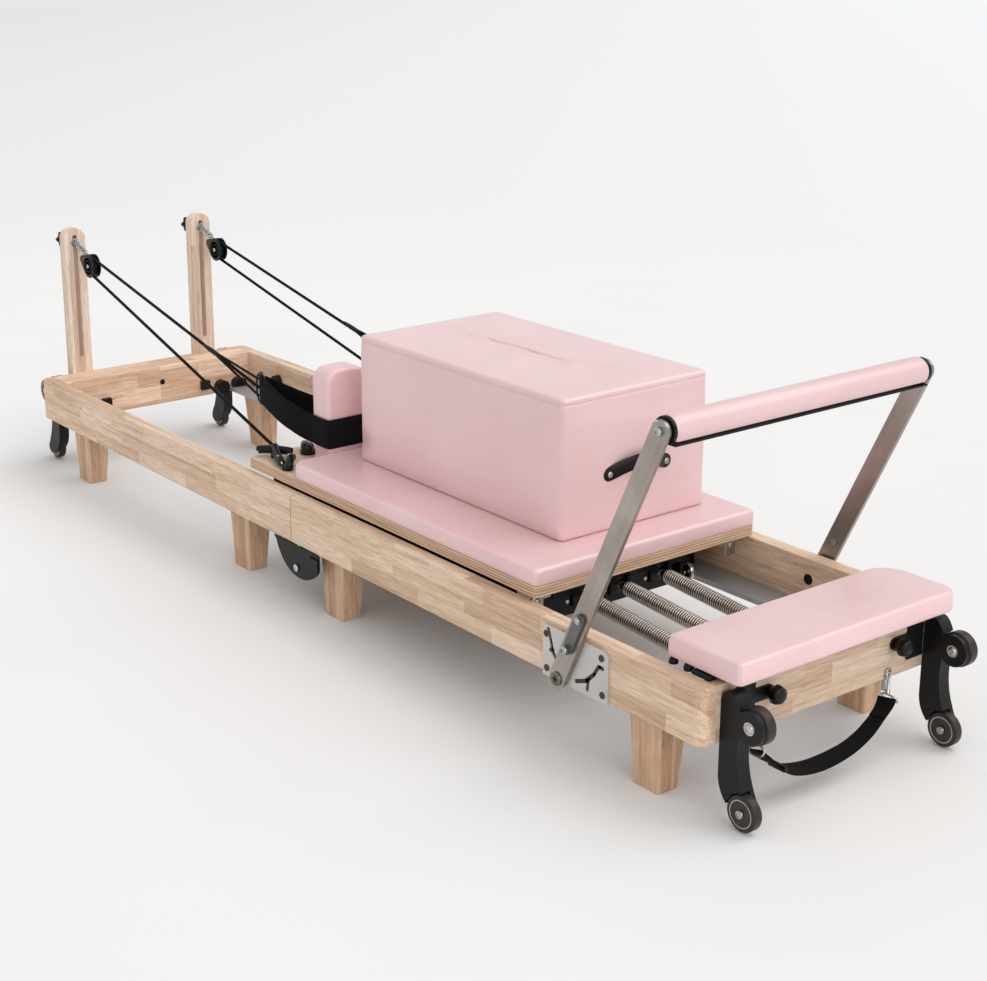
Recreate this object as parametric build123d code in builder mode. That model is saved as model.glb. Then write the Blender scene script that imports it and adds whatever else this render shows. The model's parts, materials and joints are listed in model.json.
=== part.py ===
"""Folding pilates reformer: wooden frame in two hinged halves, sprung carriage, ropes and footbar.

Frame: +X towards the foot end, +Y to the left of a user who lies head at -X, +Z up.
The origin is on the floor, at the middle of the length and of the width.
"""
from build123d import *
import math
import os

os.makedirs("parts", exist_ok=True)

# ---- driving dimensions, mm ----
HALF_LENGTH = 1232.0
HALF_WIDTH = 310.0
RAIL_THICK = 32.0
RAIL_BOTTOM = 140.0
RAIL_TOP = 243.0
FOLD_GAP = 1.0
HEAD_BEAM_DEPTH = 80.0
FOOT_BEAM_DEPTH = 32.0
INNER = HALF_WIDTH - RAIL_THICK
CORNER_ROUND = 20.0

LEG_BOTTOM = (64.0, 48.0)
LEG_TOP = (84.0, 62.0)
LEG_OUTER = 288.0
LEG_FOOT_CENTRES = (1080.0, 122.0)
LEG_HEAD_CENTRES = (-1054.0, -256.0)

SLAT_THICK = 9.5
TRACK_BOTTOM = RAIL_BOTTOM + SLAT_THICK
TRACK_THICK = 6.0
TRACK_TOP = TRACK_BOTTOM + TRACK_THICK
TRACK_INNER = 200.0

HINGE_Z = 78.0
HINGE_PIN_R = 6.0

FOOTBAR_PIVOT = (890.0, 146.0)
FOOTBAR_TOP = (1128.0, 653.0)
ARM_WIDTH = 38.0
ARM_INNER = 316.0
ARM_THICK = 8.0
PIVOT_BOLT_R = 8.0
FOOTBAR_PAD_R = 26.0
FOOTBAR_PAD_HALF = 307.0
LEVER_PIVOT = (951.5, 277.0)
LEVER_PIN = (922.0, 214.0)

CARRIAGE_HEAD = -215.0
CARRIAGE_FOOT = 779.0
CARRIAGE_HALF_WIDTH = 281.0
BOARD_BOTTOM = 250.0
BOARD_TOP = 272.0
PAD_TOP = 303.0
PAD_HEAD = -46.0

ROLLER_R = 20.0
ROLLER_X = (-150.0, 640.0)
ROLLER_Z = TRACK_TOP + ROLLER_R + 0.3

BOX_X = (32.0, 694.0)
BOX_Y = (-149.0, 223.0)
BOX_WALL = 16.0
BOX_Z = (PAD_TOP + 0.3, 580.0)

SPRING_R = 12.5
SPRING_Y = (-132.0, -38.0, 66.0)
SPRING_HOOK = (729.0, 209.0)
SPRING_BAR = (1162.0, 178.0)
SPRING_BAR_R = 8.0

RISER_Y = 188.0
RISER_WIDTH = 58.0
RISER_THICK = 30.0
RISER_TOP = 631.0
SLOT_Z = (291.0, 607.0)
SLOT_WIDTH = 13.0
HANGER_Z = 594.0
BLOCK_AXLE = (-1138.0, 546.0)
SHEAVE_R = 24.0
CHEEK_R = 31.0
ROPE_R = 3.9
ROPE_WRAP_R = 23.0
RING_POINT = (-290.0, 198.0, 400.0)
CLEAT_POINT = (-196.0, 226.0, 290.0)

KNOB_Y = 160.0
KNOB_Z = 203.0

BRACKET_Y = -268.0
BRACKET_WIDTH = 28.0
BRACKET_PITCH = 508.0
WHEEL_R = 32.0
WHEEL_AXLE_R = 5.0
UPPER_AXLE = (64.0, 189.0)
LOWER_AXLE = (54.5, 34.0)

RUNNING = 0.05


def save(name, piece):
    """Label one finished piece and write it as its own STEP file."""
    piece.label = name
    export_step(piece, f"parts/{name}.step")


def bar(x, y, z, mode=Mode.ADD):
    """Box between two corners, given as (low, high) along each axis."""
    with Locations(tuple((low + high) / 2 for low, high in (x, y, z))):
        Box(x[1] - x[0], y[1] - y[0], z[1] - z[0], mode=mode)


def rod_y(x, z, radius, y, mode=Mode.ADD):
    """Cylinder along Y between two values of y."""
    with Locations(Location((x, (y[0] + y[1]) / 2, z), (90, 0, 0))):
        Cylinder(radius, abs(y[1] - y[0]), mode=mode)


def rod_x(y, z, radius, x, mode=Mode.ADD):
    """Cylinder along X between two values of x."""
    with Locations(Location(((x[0] + x[1]) / 2, y, z), (0, 90, 0))):
        Cylinder(radius, abs(x[1] - x[0]), mode=mode)


def rod_z(x, y, radius, z, mode=Mode.ADD):
    """Cylinder along Z between two values of z."""
    with Locations((x, y, (z[0] + z[1]) / 2)):
        Cylinder(radius, abs(z[1] - z[0]), mode=mode)


def side_plane(y):
    """Sketch plane at one y whose own axes are X and Z; extruding by +1 goes towards +Y."""
    return Plane(origin=(0, y, 0), x_dir=(1, 0, 0), z_dir=(0, -1, 0))


def both(low, high):
    """The same span of |y| on the right side (negative) and on the left side."""
    return (-high, -low), (low, high)


def rounded_plate(x, y, z, radii, mode=Mode.ADD):
    """Plate with its own radius at each corner, from the near head corner anticlockwise."""
    with BuildSketch(Plane.XY.offset(z[0])) as outline:
        with Locations(((x[0] + x[1]) / 2, (y[0] + y[1]) / 2)):
            Rectangle(x[1] - x[0], y[1] - y[0])
        corners = [(x[0], y[0]), (x[1], y[0]), (x[1], y[1]), (x[0], y[1])]
        for corner, radius in zip(corners, radii):
            fillet(outline.vertices().sort_by_distance((*corner, z[0]))[0], radius)
    extrude(outline.sketch, amount=z[1] - z[0], mode=mode)


def link_outline(a, b, width):
    """Flat link with round ends, between two points of a sketch."""
    length = math.dist(a, b)
    angle = math.degrees(math.atan2(b[1] - a[1], b[0] - a[0]))
    with Locations(Location(((a[0] + b[0]) / 2, (a[1] + b[1]) / 2, 0), (0, 0, angle))):
        SlotCenterToCenter(length, width)


# ---- wooden frame ----
def make_rails(name, x, rounded_x):
    """The two long rails of one half; the outer end corner is rounded."""
    with BuildPart() as rails:
        for y in both(INNER, HALF_WIDTH):
            bar(x, y, (RAIL_BOTTOM, RAIL_TOP))
        outer = [
            edge
            for edge in rails.edges().filter_by(Axis.Z)
            if abs(edge.center().X - rounded_x) < 1 and abs(edge.center().Y) > HALF_WIDTH - 1
        ]
        fillet(outer, CORNER_ROUND)
        long_edges = rails.edges().filter_by(Axis.X)
        chamfer(long_edges, 1.5)
        if rounded_x > 0:
            for side in (-1, 1):
                rod_y(*FOOTBAR_PIVOT, PIVOT_BOLT_R, (side * (INNER + 6), side * 340), mode=Mode.SUBTRACT)
    save(name, rails.part)


def make_crossbeams(name, end_x, slat_x, holes):
    """End beam between the rails and the thin slat under the tracks beside the fold."""
    with BuildPart() as beams:
        bar(end_x, (-INNER, INNER), (RAIL_BOTTOM, RAIL_TOP))
        chamfer(beams.edges().filter_by(Axis.Y), 1.5)
        bar(slat_x, (-INNER, INNER), (RAIL_BOTTOM, RAIL_BOTTOM + SLAT_THICK))
        for y, z, radius in holes:
            rod_x(y, z, radius, (end_x[0] - 1, end_x[1] + 1), mode=Mode.SUBTRACT)
    save(name, beams.part)


def make_legs(name, centres):
    """Four tapered legs under the rails, each with a stub that rises inside them to carry the track."""
    with BuildPart() as legs:
        for side in (-1, 1):
            for x in centres:
                top_y = side * (LEG_OUTER - LEG_TOP[1] / 2)
                bottom_y = side * (LEG_OUTER - 3 - LEG_BOTTOM[1] / 2)
                stub = LEG_TOP[1] - (LEG_OUTER - INNER)
                with BuildSketch(Plane.XY):
                    with Locations((x, bottom_y)):
                        RectangleRounded(*LEG_BOTTOM, 5)
                with BuildSketch(Plane.XY.offset(RAIL_BOTTOM)):
                    with Locations((x, top_y)):
                        RectangleRounded(*LEG_TOP, 5)
                loft()
                with BuildSketch(Plane.XY.offset(RAIL_BOTTOM)):
                    with Locations((x, side * (INNER - stub / 2))):
                        RectangleRounded(LEG_TOP[0], stub, 5)
                extrude(amount=SLAT_THICK)
    save(name, legs.part)


def make_tracks(name, x):
    """Aluminium running strips for the carriage rollers, with a raised inner lip."""
    with BuildPart() as tracks:
        for y in both(TRACK_INNER, INNER):
            bar(x, y, (TRACK_BOTTOM, TRACK_TOP))
        for y in both(TRACK_INNER, TRACK_INNER + 3):
            bar(x, y, (TRACK_TOP, TRACK_TOP + 4))
    save(name, tracks.part)


# ---- fold hinge ----
def make_hinge_leaves(name, side_x, y):
    """Pair of steel leaves under the rails, one half's share of the fold hinge."""
    flange = sorted((side_x * 2.0, side_x * 78.0))
    with BuildPart() as leaves:
        for low, high in both(*y):
            with BuildSketch(side_plane(low)):
                with BuildLine():
                    Polyline(
                        (flange[0], RAIL_BOTTOM),
                        (flange[1], RAIL_BOTTOM),
                        (flange[1], RAIL_BOTTOM - 8),
                        (side_x * 13.5, HINGE_Z) if side_x > 0 else (0, HINGE_Z - 13.5),
                        (0, HINGE_Z - 13.5) if side_x > 0 else (-13.5, HINGE_Z),
                        (flange[0], RAIL_BOTTOM - 8),
                        close=True,
                    )
                make_face()
                with Locations((0, HINGE_Z)):
                    Circle(14)
            extrude(amount=-(high - low))
            rod_y(0, HINGE_Z, HINGE_PIN_R + RUNNING, (low - 1, high + 1), mode=Mode.SUBTRACT)
    save(name, leaves.part)


def make_hinge_pins():
    with BuildPart() as pins:
        for low, high in both(282.0, 308.0):
            rod_y(0, HINGE_Z, HINGE_PIN_R, (low, high))
        for low, high in both(280.0, 282.0):
            rod_y(0, HINGE_Z, HINGE_PIN_R + 3, (low, high))
    save("hinge_pins", pins.part)


def make_hinge_covers():
    """Half-moon cover plates outside the rails, each with a rivet and a stop block."""
    with BuildPart() as covers:
        for side, (low, high) in zip((-1, 1), both(HALF_WIDTH + 0.5, HALF_WIDTH + 4)):
            with BuildSketch(side_plane(low)):
                with BuildLine():
                    chord = Line((112, 140), (-52, 140))
                    tip = Line(chord @ 1, (-54, 133))
                    ThreePointArc(tip @ 1, (38, 69), (108, 100))
                    Line((108, 100), (112, 109))
                    Line((112, 109), chord @ 0)
                make_face()
            extrude(amount=-(high - low))
            outer = side * (HALF_WIDTH + 4)
            rod_y(26, 90, 8, sorted((outer, outer + side * 2.5)))
            rod_y(26, 90, 4, sorted((side * 292.0, side * (HALF_WIDTH + 0.5))))
            bar((80, 112), sorted((side * (HALF_WIDTH + 4), side * (HALF_WIDTH + 8))), (102, 131))
    save("hinge_covers", covers.part)


# ---- transport wheels and their brackets ----
def bracket_solid(y):
    """One S-shaped wheel bracket on the outer face of the foot beam, its near face at y."""
    upper = (HALF_LENGTH + UPPER_AXLE[0], UPPER_AXLE[1])
    lower = (HALF_LENGTH + LOWER_AXLE[0], LOWER_AXLE[1])
    x0 = HALF_LENGTH
    with BuildSketch(side_plane(y)) as spine:
        with BuildLine():
            top = Line((x0, 88), (x0, 216))
            Spline(top @ 1, (x0 + 8, 233), (x0 + 22, 238), (x0 + 36, 226), (x0 + 44, 208))
            Line((x0 + 44, 208), (x0 + 42, 160))
            Spline((x0 + 42, 160), (x0 + 41, 118), (x0 + 46, 92), (x0 + 54, 70))
            Line((x0 + 54, 70), (x0 + 24, 36))
            Spline((x0 + 24, 36), (x0 + 8, 55), top @ 0)
        make_face()
    with BuildSketch(side_plane(y)) as disc:
        with Locations(upper):
            Circle(29)
    with BuildSketch(side_plane(y + 19.5)) as foot:
        with BuildLine():
            Spline((x0, 82), (x0 + 5, 58), (x0 + 20, 35), (x0 + 42, 21), (lower[0], lower[1] - 16))
            ThreePointArc(
                (lower[0], lower[1] - 16), (lower[0] + 16, lower[1]), (lower[0] + 11.3, lower[1] + 11.3)
            )
            Spline((lower[0] + 11.3, lower[1] + 11.3), (x0 + 58, 60), (x0 + 48, 84))
            Line((x0 + 48, 84), (x0, 82))
        make_face()
    with BuildPart() as bracket:
        extrude(spine.sketch, amount=-BRACKET_WIDTH)
        rod_y(*upper, WHEEL_R + 2, (y + 9, y + BRACKET_WIDTH + 1), mode=Mode.SUBTRACT)
        rod_y(*lower, WHEEL_R + 2.5, (y - 1, y + 19.5), mode=Mode.SUBTRACT)
        extrude(disc.sketch, amount=-9)
        extrude(foot.sketch, amount=-(BRACKET_WIDTH - 19.5))
        bar((x0 - 20, x0), (y - 1, y + BRACKET_WIDTH + 1), (0, 300), mode=Mode.SUBTRACT)
    return bracket.part


def wheel_solids(axle, low, high):
    """Hub and tyre of one transport wheel."""
    x = HALF_LENGTH + axle[0]
    with BuildPart() as hub:
        rod_y(x, axle[1], 22, (low, high))
        rod_y(x, axle[1], WHEEL_AXLE_R + RUNNING, (low - 1, high + 1), mode=Mode.SUBTRACT)
    with BuildPart() as tyre:
        rod_y(x, axle[1], WHEEL_R, (low, high))
        fillet(tyre.edges().filter_by(GeomType.CIRCLE), 3)
        rod_y(x, axle[1], 22, (low - 1, high + 1), mode=Mode.SUBTRACT)
    return Compound(children=[hub.part, tyre.part])


def axle_solids(y):
    """Bolts of one bracket: shaft through the wheel and a head outside it."""
    upper_x = HALF_LENGTH + UPPER_AXLE[0]
    lower_x = HALF_LENGTH + LOWER_AXLE[0]
    with BuildPart() as bolts:
        rod_y(upper_x, UPPER_AXLE[1], 7, (y - 3, y))
        rod_y(upper_x, UPPER_AXLE[1], WHEEL_AXLE_R, (y + 9, y + 34))
        rod_y(upper_x, UPPER_AXLE[1], 8, (y + 32, y + 34))
        rod_y(lower_x, LOWER_AXLE[1], 7, (y - 5, y - 2))
        rod_y(lower_x, LOWER_AXLE[1], WHEEL_AXLE_R, (y - 2, y + 19.5))
    return bolts.part


def turned(shape):
    """The same piece at the opposite end: half a turn about the vertical axis."""
    return shape.rotate(Axis.Z, 180)


def make_wheel_ends():
    """Brackets and wheels: foot end as drawn, head end as the same set turned half round."""
    rows = (BRACKET_Y, BRACKET_Y + BRACKET_PITCH)
    brackets = [bracket_solid(y) for y in rows]
    save("foot_wheel_brackets", Compound(children=brackets))
    save("head_wheel_brackets", Compound(children=[turned(bracket_solid(y)) for y in rows]))
    spans = {"upper": (UPPER_AXLE, 9.5, 31.5), "lower": (LOWER_AXLE, -1.0, 19.0)}
    for y, foot_side, head_side in zip(rows, ("right", "left"), ("left", "right")):
        for level, (axle, low, high) in spans.items():
            save(f"foot_{level}_wheel_{foot_side}", wheel_solids(axle, y + low, y + high))
            save(f"head_{level}_wheel_{head_side}", turned(wheel_solids(axle, y + low, y + high)))


# ---- head end ----
def make_risers():
    """Two slotted posts on the outer face of the head beam."""
    with BuildPart() as risers:
        for y in (-RISER_Y, RISER_Y):
            x = (-HALF_LENGTH - RISER_THICK, -HALF_LENGTH)
            with BuildSketch(Plane(origin=(x[0], 0, 0), x_dir=(0, 1, 0), z_dir=(1, 0, 0))):
                base = RAIL_BOTTOM + 4
                with Locations((y, (base + RISER_TOP - 25) / 2)):
                    Rectangle(RISER_WIDTH, RISER_TOP - 25 - base)
                with Locations((y, RISER_TOP - 25)):
                    Ellipse(RISER_WIDTH / 2, 25)
                link_outline((y, SLOT_Z[0]), (y, SLOT_Z[1]), SLOT_WIDTH)
            extrude(amount=RISER_THICK)
            with BuildSketch(Plane(origin=(x[0], 0, 0), x_dir=(0, 1, 0), z_dir=(1, 0, 0))):
                link_outline((y, SLOT_Z[0]), (y, SLOT_Z[1]), SLOT_WIDTH)
            extrude(amount=RISER_THICK, mode=Mode.SUBTRACT)
    save("risers", risers.part)


def make_rope_buffers():
    """Rubber stops: two pairs on the inner face of the head beam and a dome on each rail."""
    face = -HALF_LENGTH + HEAD_BEAM_DEPTH
    with BuildPart() as buffers:
        for side in (-1, 1):
            for y in (184.0, 238.0):
                rod_x(side * y, 160, 19, (face, face + 24))
            rod_y(-992, 192, 17, sorted((side * (INNER - 16), side * INNER)))
        for y in ((-177, -153), (122, 146)):
            bar((face, face + 14), y, (160, 184))
    save("rope_buffers", buffers.part)


def make_pulley_hangers():
    """Star knob, bolt through the riser slot and short chain that hold each pulley block."""
    front = -HALF_LENGTH
    for name, y in (("right", -RISER_Y), ("left", RISER_Y)):
        back = front - RISER_THICK
        with BuildPart() as hanger:
            rod_x(y, HANGER_Z, 21, (back - 42, back - 26))
            rod_x(y, HANGER_Z, 10, (back - 26, back - 0.3))
            rod_x(y, HANGER_Z, 5, (back - 0.3, front + 0.3))
            rod_x(y, HANGER_Z, 12, (front + 0.3, front + 2.8))
            with BuildSketch(side_plane(y - 5)):
                link_outline((front + 9, HANGER_Z - 2), (front + 62, HANGER_Z - 20), 12)
            extrude(amount=-10)
            rod_x(y, HANGER_Z, 5, (front + 2.8, front + 9))
        save(f"pulley_hanger_{name}", hanger.part)
        x, z = BLOCK_AXLE
        with BuildPart() as block:
            for low in (-11.0, 7.5):
                with BuildSketch(side_plane(y + low)):
                    with Locations((x, z)):
                        Circle(CHEEK_R)
                    link_outline((x - 36, z + 13), (x, z), 30)
                extrude(amount=-3.5)
            with BuildSketch(side_plane(y - 7.5)):
                link_outline((x - 36, z + 13), (x - 33, z + 11.5), 14)
            extrude(amount=-15)
            rod_y(x, z, 4, (y - 7.5, y + 7.5))
        save(f"pulley_block_{name}", block.part)
        with BuildPart() as sheave:
            with BuildSketch(Plane(origin=(x, y, z), x_dir=(1, 0, 0), z_dir=(0, 0, 1))):
                with BuildLine():
                    groove = Polyline((SHEAVE_R, -6), (4 + RUNNING, -6), (4 + RUNNING, 6), (SHEAVE_R, 6))
                    ThreePointArc(groove @ 1, (ROPE_WRAP_R - ROPE_R - 0.4, 0), groove @ 0)
                make_face()
            revolve(axis=Axis((x, y, z), (0, 1, 0)))
        save(f"sheave_{name}", sheave.part)


# ---- footbar ----
def arm_point(distance):
    """Point on the arm's centre line, at a distance from the pivot."""
    length = math.dist(FOOTBAR_PIVOT, FOOTBAR_TOP)
    return tuple(p + (t - p) * distance / length for p, t in zip(FOOTBAR_PIVOT, FOOTBAR_TOP))


def make_footbar_plates():
    """Steel side plates on the rails, each with two branched locking slots."""
    with BuildPart() as plates:
        for side, (low, high) in zip((-1, 1), both(HALF_WIDTH, HALF_WIDTH + 4)):
            with BuildSketch(side_plane(low)) as outline:
                with BuildLine():
                    edge = Polyline((841, 136), (1012, 136), (1012, 218))
                    corner = RadiusArc(edge @ 1, (997, 233), -15)
                    Polyline(corner @ 1, (845, 233), (841, 229), (841, 136))
                make_face()
                with Locations((850, 216), (852, 151), (995, 218), (999, 151)):
                    Circle(3.2, mode=Mode.SUBTRACT)
                with Locations(FOOTBAR_PIVOT):
                    Circle(PIVOT_BOLT_R + RUNNING, mode=Mode.SUBTRACT)
            extrude(amount=-4)
            with BuildSketch(side_plane(low)):
                for a, b in (
                    ((855, 226), (863, 203)),
                    ((863, 203), (868, 186)),
                    ((868, 186), (879, 174)),
                    ((861, 188), (868, 190)),
                    ((930, 153), (955, 162)),
                    ((955, 162), (975, 180)),
                    ((975, 180), (988, 200)),
                    ((988, 200), (998, 200)),
                    ((960, 148), (962, 166)),
                ):
                    link_outline(a, b, 8)
            extrude(amount=-4, mode=Mode.SUBTRACT)
    save("footbar_plates", plates.part)


def make_footbar():
    """Swinging footbar: two flat arms, the tube between them, its pad and its trim."""
    with BuildPart() as arms:
        for low, high in both(ARM_INNER, ARM_INNER + ARM_THICK):
            with BuildSketch(side_plane(low)):
                link_outline(FOOTBAR_PIVOT, FOOTBAR_TOP, ARM_WIDTH)
                with Locations(FOOTBAR_PIVOT):
                    Circle(PIVOT_BOLT_R + RUNNING, mode=Mode.SUBTRACT)
                with Locations(FOOTBAR_TOP, LEVER_PIVOT):
                    Circle(4, mode=Mode.SUBTRACT)
            extrude(amount=-(high - low))
    save("footbar_arms", arms.part)
    with BuildPart() as tube:
        rod_y(*FOOTBAR_TOP, 12, (-ARM_INNER, ARM_INNER))
    save("footbar_tube", tube.part)
    flat_z = FOOTBAR_TOP[1] - 21
    half = FOOTBAR_PAD_HALF
    with BuildPart() as pad:
        rod_y(*FOOTBAR_TOP, FOOTBAR_PAD_R, (-half, half))
        bar((1090, 1166), (-half, half), (flat_z - 20, flat_z), mode=Mode.SUBTRACT)
        rod_y(*FOOTBAR_TOP, 12, (-half, half), mode=Mode.SUBTRACT)
    save("footbar_pad", pad.part)
    with BuildPart() as trim:
        bar((FOOTBAR_TOP[0] - 20, FOOTBAR_TOP[0] + 20), (-half, half), (flat_z - 3, flat_z))
        for (low, high), radius in zip(both(half, half + 6), (24, 23)):
            rod_y(*FOOTBAR_TOP, radius, (low, high))
            rod_y(*FOOTBAR_TOP, 12, (low, high), mode=Mode.SUBTRACT)
    save("footbar_trim", trim.part)
    with BuildPart() as bolts:
        outer = ARM_INNER + ARM_THICK
        for low, high in both(outer, outer + 4):
            rod_y(*FOOTBAR_TOP, 8, (low, high))
        for low, high in both(ARM_INNER, outer):
            rod_y(*FOOTBAR_TOP, 4, (low, high))
        for low, high in both(ARM_INNER - 1.6, outer + 6.3):
            rod_y(*LEVER_PIVOT, 4, (low, high))
        for low, high in both(outer + 6.3, outer + 9):
            rod_y(*LEVER_PIVOT, 7, (low, high))
        for low, high in both(ARM_INNER - 1.6, ARM_INNER):
            rod_y(*LEVER_PIVOT, 7, (low, high))
    save("footbar_bolts", bolts.part)


def make_lock_levers():
    """Short levers on the arms, each with a pin whose head stands out of the lever."""
    outer = ARM_INNER + ARM_THICK
    for name, side in (("right", -1), ("left", 1)):
        low, high = sorted((side * (outer + 0.3), side * (outer + 6)))
        with BuildPart() as lever:
            with BuildSketch(side_plane(low)):
                link_outline(LEVER_PIVOT, LEVER_PIN, 21)
                with Locations(LEVER_PIVOT):
                    Circle(4 + RUNNING, mode=Mode.SUBTRACT)
            extrude(amount=-(high - low))
            rod_y(*LEVER_PIN, 7, sorted((side * (outer + 6), side * (outer + 13))))
        save(f"lock_lever_{name}", lever.part)


# ---- foot end ----
def make_platform():
    """Padded standing platform, its board and the brackets that clamp it to the foot beam."""
    with BuildPart() as pad:
        rounded_plate((1108, 1277), (-274, 274), (254, 293), (10, 10, 26, 52))
        fillet(pad.edges().group_by(Axis.Z)[-1], 7)
        rounded_plate((1115.7, 1269.3), (-266.3, 266.3), (253, 263), (6, 6, 18, 45), Mode.SUBTRACT)
    save("platform_pad", pad.part)
    with BuildPart() as board:
        rounded_plate((1116, 1269), (-266, 266), (253, 263), (6, 6, 18, 45))
    save("platform_board", board.part)
    with BuildPart() as brackets:
        for y in both(193, 233):
            bar((HALF_LENGTH, HALF_LENGTH + 5), y, (165, 253))
            bar((1172, HALF_LENGTH), y, (RAIL_TOP, 253))
        for y in both(KNOB_Y, 193):
            bar((HALF_LENGTH, HALF_LENGTH + 5), y, (KNOB_Z - 12, KNOB_Z + 12))
        for y in (-KNOB_Y, KNOB_Y):
            rod_x(y, KNOB_Z, 12, (HALF_LENGTH, HALF_LENGTH + 5))
            rod_x(y, KNOB_Z, 4 + RUNNING, (HALF_LENGTH - 1, HALF_LENGTH + 6), mode=Mode.SUBTRACT)
    save("platform_brackets", brackets.part)
    for name, y in (("right", -KNOB_Y), ("left", KNOB_Y)):
        with BuildPart() as knob:
            with BuildSketch(Plane(origin=(HALF_LENGTH, y, KNOB_Z), x_dir=(1, 0, 0), z_dir=(0, 0, 1))):
                with BuildLine():
                    stem = Polyline((-20, 0), (-20, 4), (5.3, 4), (5.3, 9), (14, 9), (16, 15))
                    crown = Spline(stem @ 1, (22, 17), (32, 14.5), (35, 0))
                    Line(crown @ 1, stem @ 0)
                make_face()
            revolve(axis=Axis((0, y, KNOB_Z), (1, 0, 0)))
        save(f"platform_knob_{name}", knob.part)


def spring_axis(y):
    """Start of a spring at the carriage and its direction to the anchor bar."""
    start = Vector(SPRING_HOOK[0], y, SPRING_HOOK[1])
    end = Vector(SPRING_BAR[0] - SPRING_BAR_R - 2, y, SPRING_BAR[1] + 2)
    return start, end


def make_springs():
    """Close-wound springs, each as its outer shape with slimmer hooked ends."""
    with BuildPart() as springs:
        for y in SPRING_Y:
            start, end = spring_axis(y)
            way = (end - start).normalized()
            length = (end - start).length
            with BuildSketch(Plane(origin=start, x_dir=way, z_dir=(0, 1, 0))):
                with BuildLine():
                    Polyline(
                        (0, 0), (0, 3), (8, 3), (8, SPRING_R),
                        (length - 18, SPRING_R), (length - 18, 3), (length, 3), (length, 0), close=True,
                    )
                make_face()
            revolve(axis=Axis(start, way))
    save("springs", springs.part)
    with BuildPart() as anchor:
        rod_y(*SPRING_BAR, SPRING_BAR_R, (-INNER, INNER))
        for y in SPRING_Y:
            for offset in (-9, 5):
                rod_y(*SPRING_BAR, SPRING_BAR_R + 4, (y + offset, y + offset + 4))
    save("spring_anchor_bar", anchor.part)


STRAP_ROUTE = [(1250, 138, 108), (1252, 60, 66), (1252, -50, 46), (1250, -140, 58), (1249, -192, 106)]


def make_foot_strap():
    """Webbing strap that hangs across the foot end, as a flat band along its sag."""
    with BuildPart() as strap:
        with BuildLine() as route:
            Spline(*STRAP_ROUTE)
        start = route.line @ 0
        with BuildSketch(Plane(origin=start, x_dir=(1, 0, 0), z_dir=route.line % 0)):
            Rectangle(36, 2.6)
        sweep(path=route.line, is_frenet=False, binormal=None)
    save("foot_strap", strap.part)


def make_foot_hardware():
    """Fasteners of the foot half: plate screws, footbar pivots, wheel bolts and strap hooks."""
    with BuildPart() as pivots:
        outer = ARM_INNER + ARM_THICK
        for side in (-1, 1):
            rod_y(*FOOTBAR_PIVOT, PIVOT_BOLT_R, sorted((side * (INNER + 6), side * (outer + 0.3))))
            rod_y(*FOOTBAR_PIVOT, 13, sorted((side * (outer + 0.3), side * (outer + 3))))
            rod_y(*FOOTBAR_PIVOT, 13, sorted((side * (HALF_WIDTH + 4), side * (ARM_INNER - 0.3))))
            for x, z in ((850, 216), (852, 151), (995, 218), (999, 151)):
                rod_y(x, z, 3.2, sorted((side * HALF_WIDTH, side * (HALF_WIDTH + 4))))
                rod_y(x, z, 5.5, sorted((side * (HALF_WIDTH + 4), side * (HALF_WIDTH + 5.5))))
        for y, bottom in ((150, 112), (-200, 112)):
            with BuildSketch(Plane(origin=(1222, y, 0), x_dir=(0, 1, 0), z_dir=(1, 0, 0))):
                link_outline((0, bottom + 6), (0, RAIL_BOTTOM - 5), 10)
            extrude(amount=8)
    bolts = [axle_solids(y) for y in (BRACKET_Y, BRACKET_Y + BRACKET_PITCH)]
    save("foot_hardware", Compound(children=[pivots.part, *bolts]))
    head = [turned(axle_solids(y)) for y in (BRACKET_Y, BRACKET_Y + BRACKET_PITCH)]
    save("head_hardware", Compound(children=head))


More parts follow.
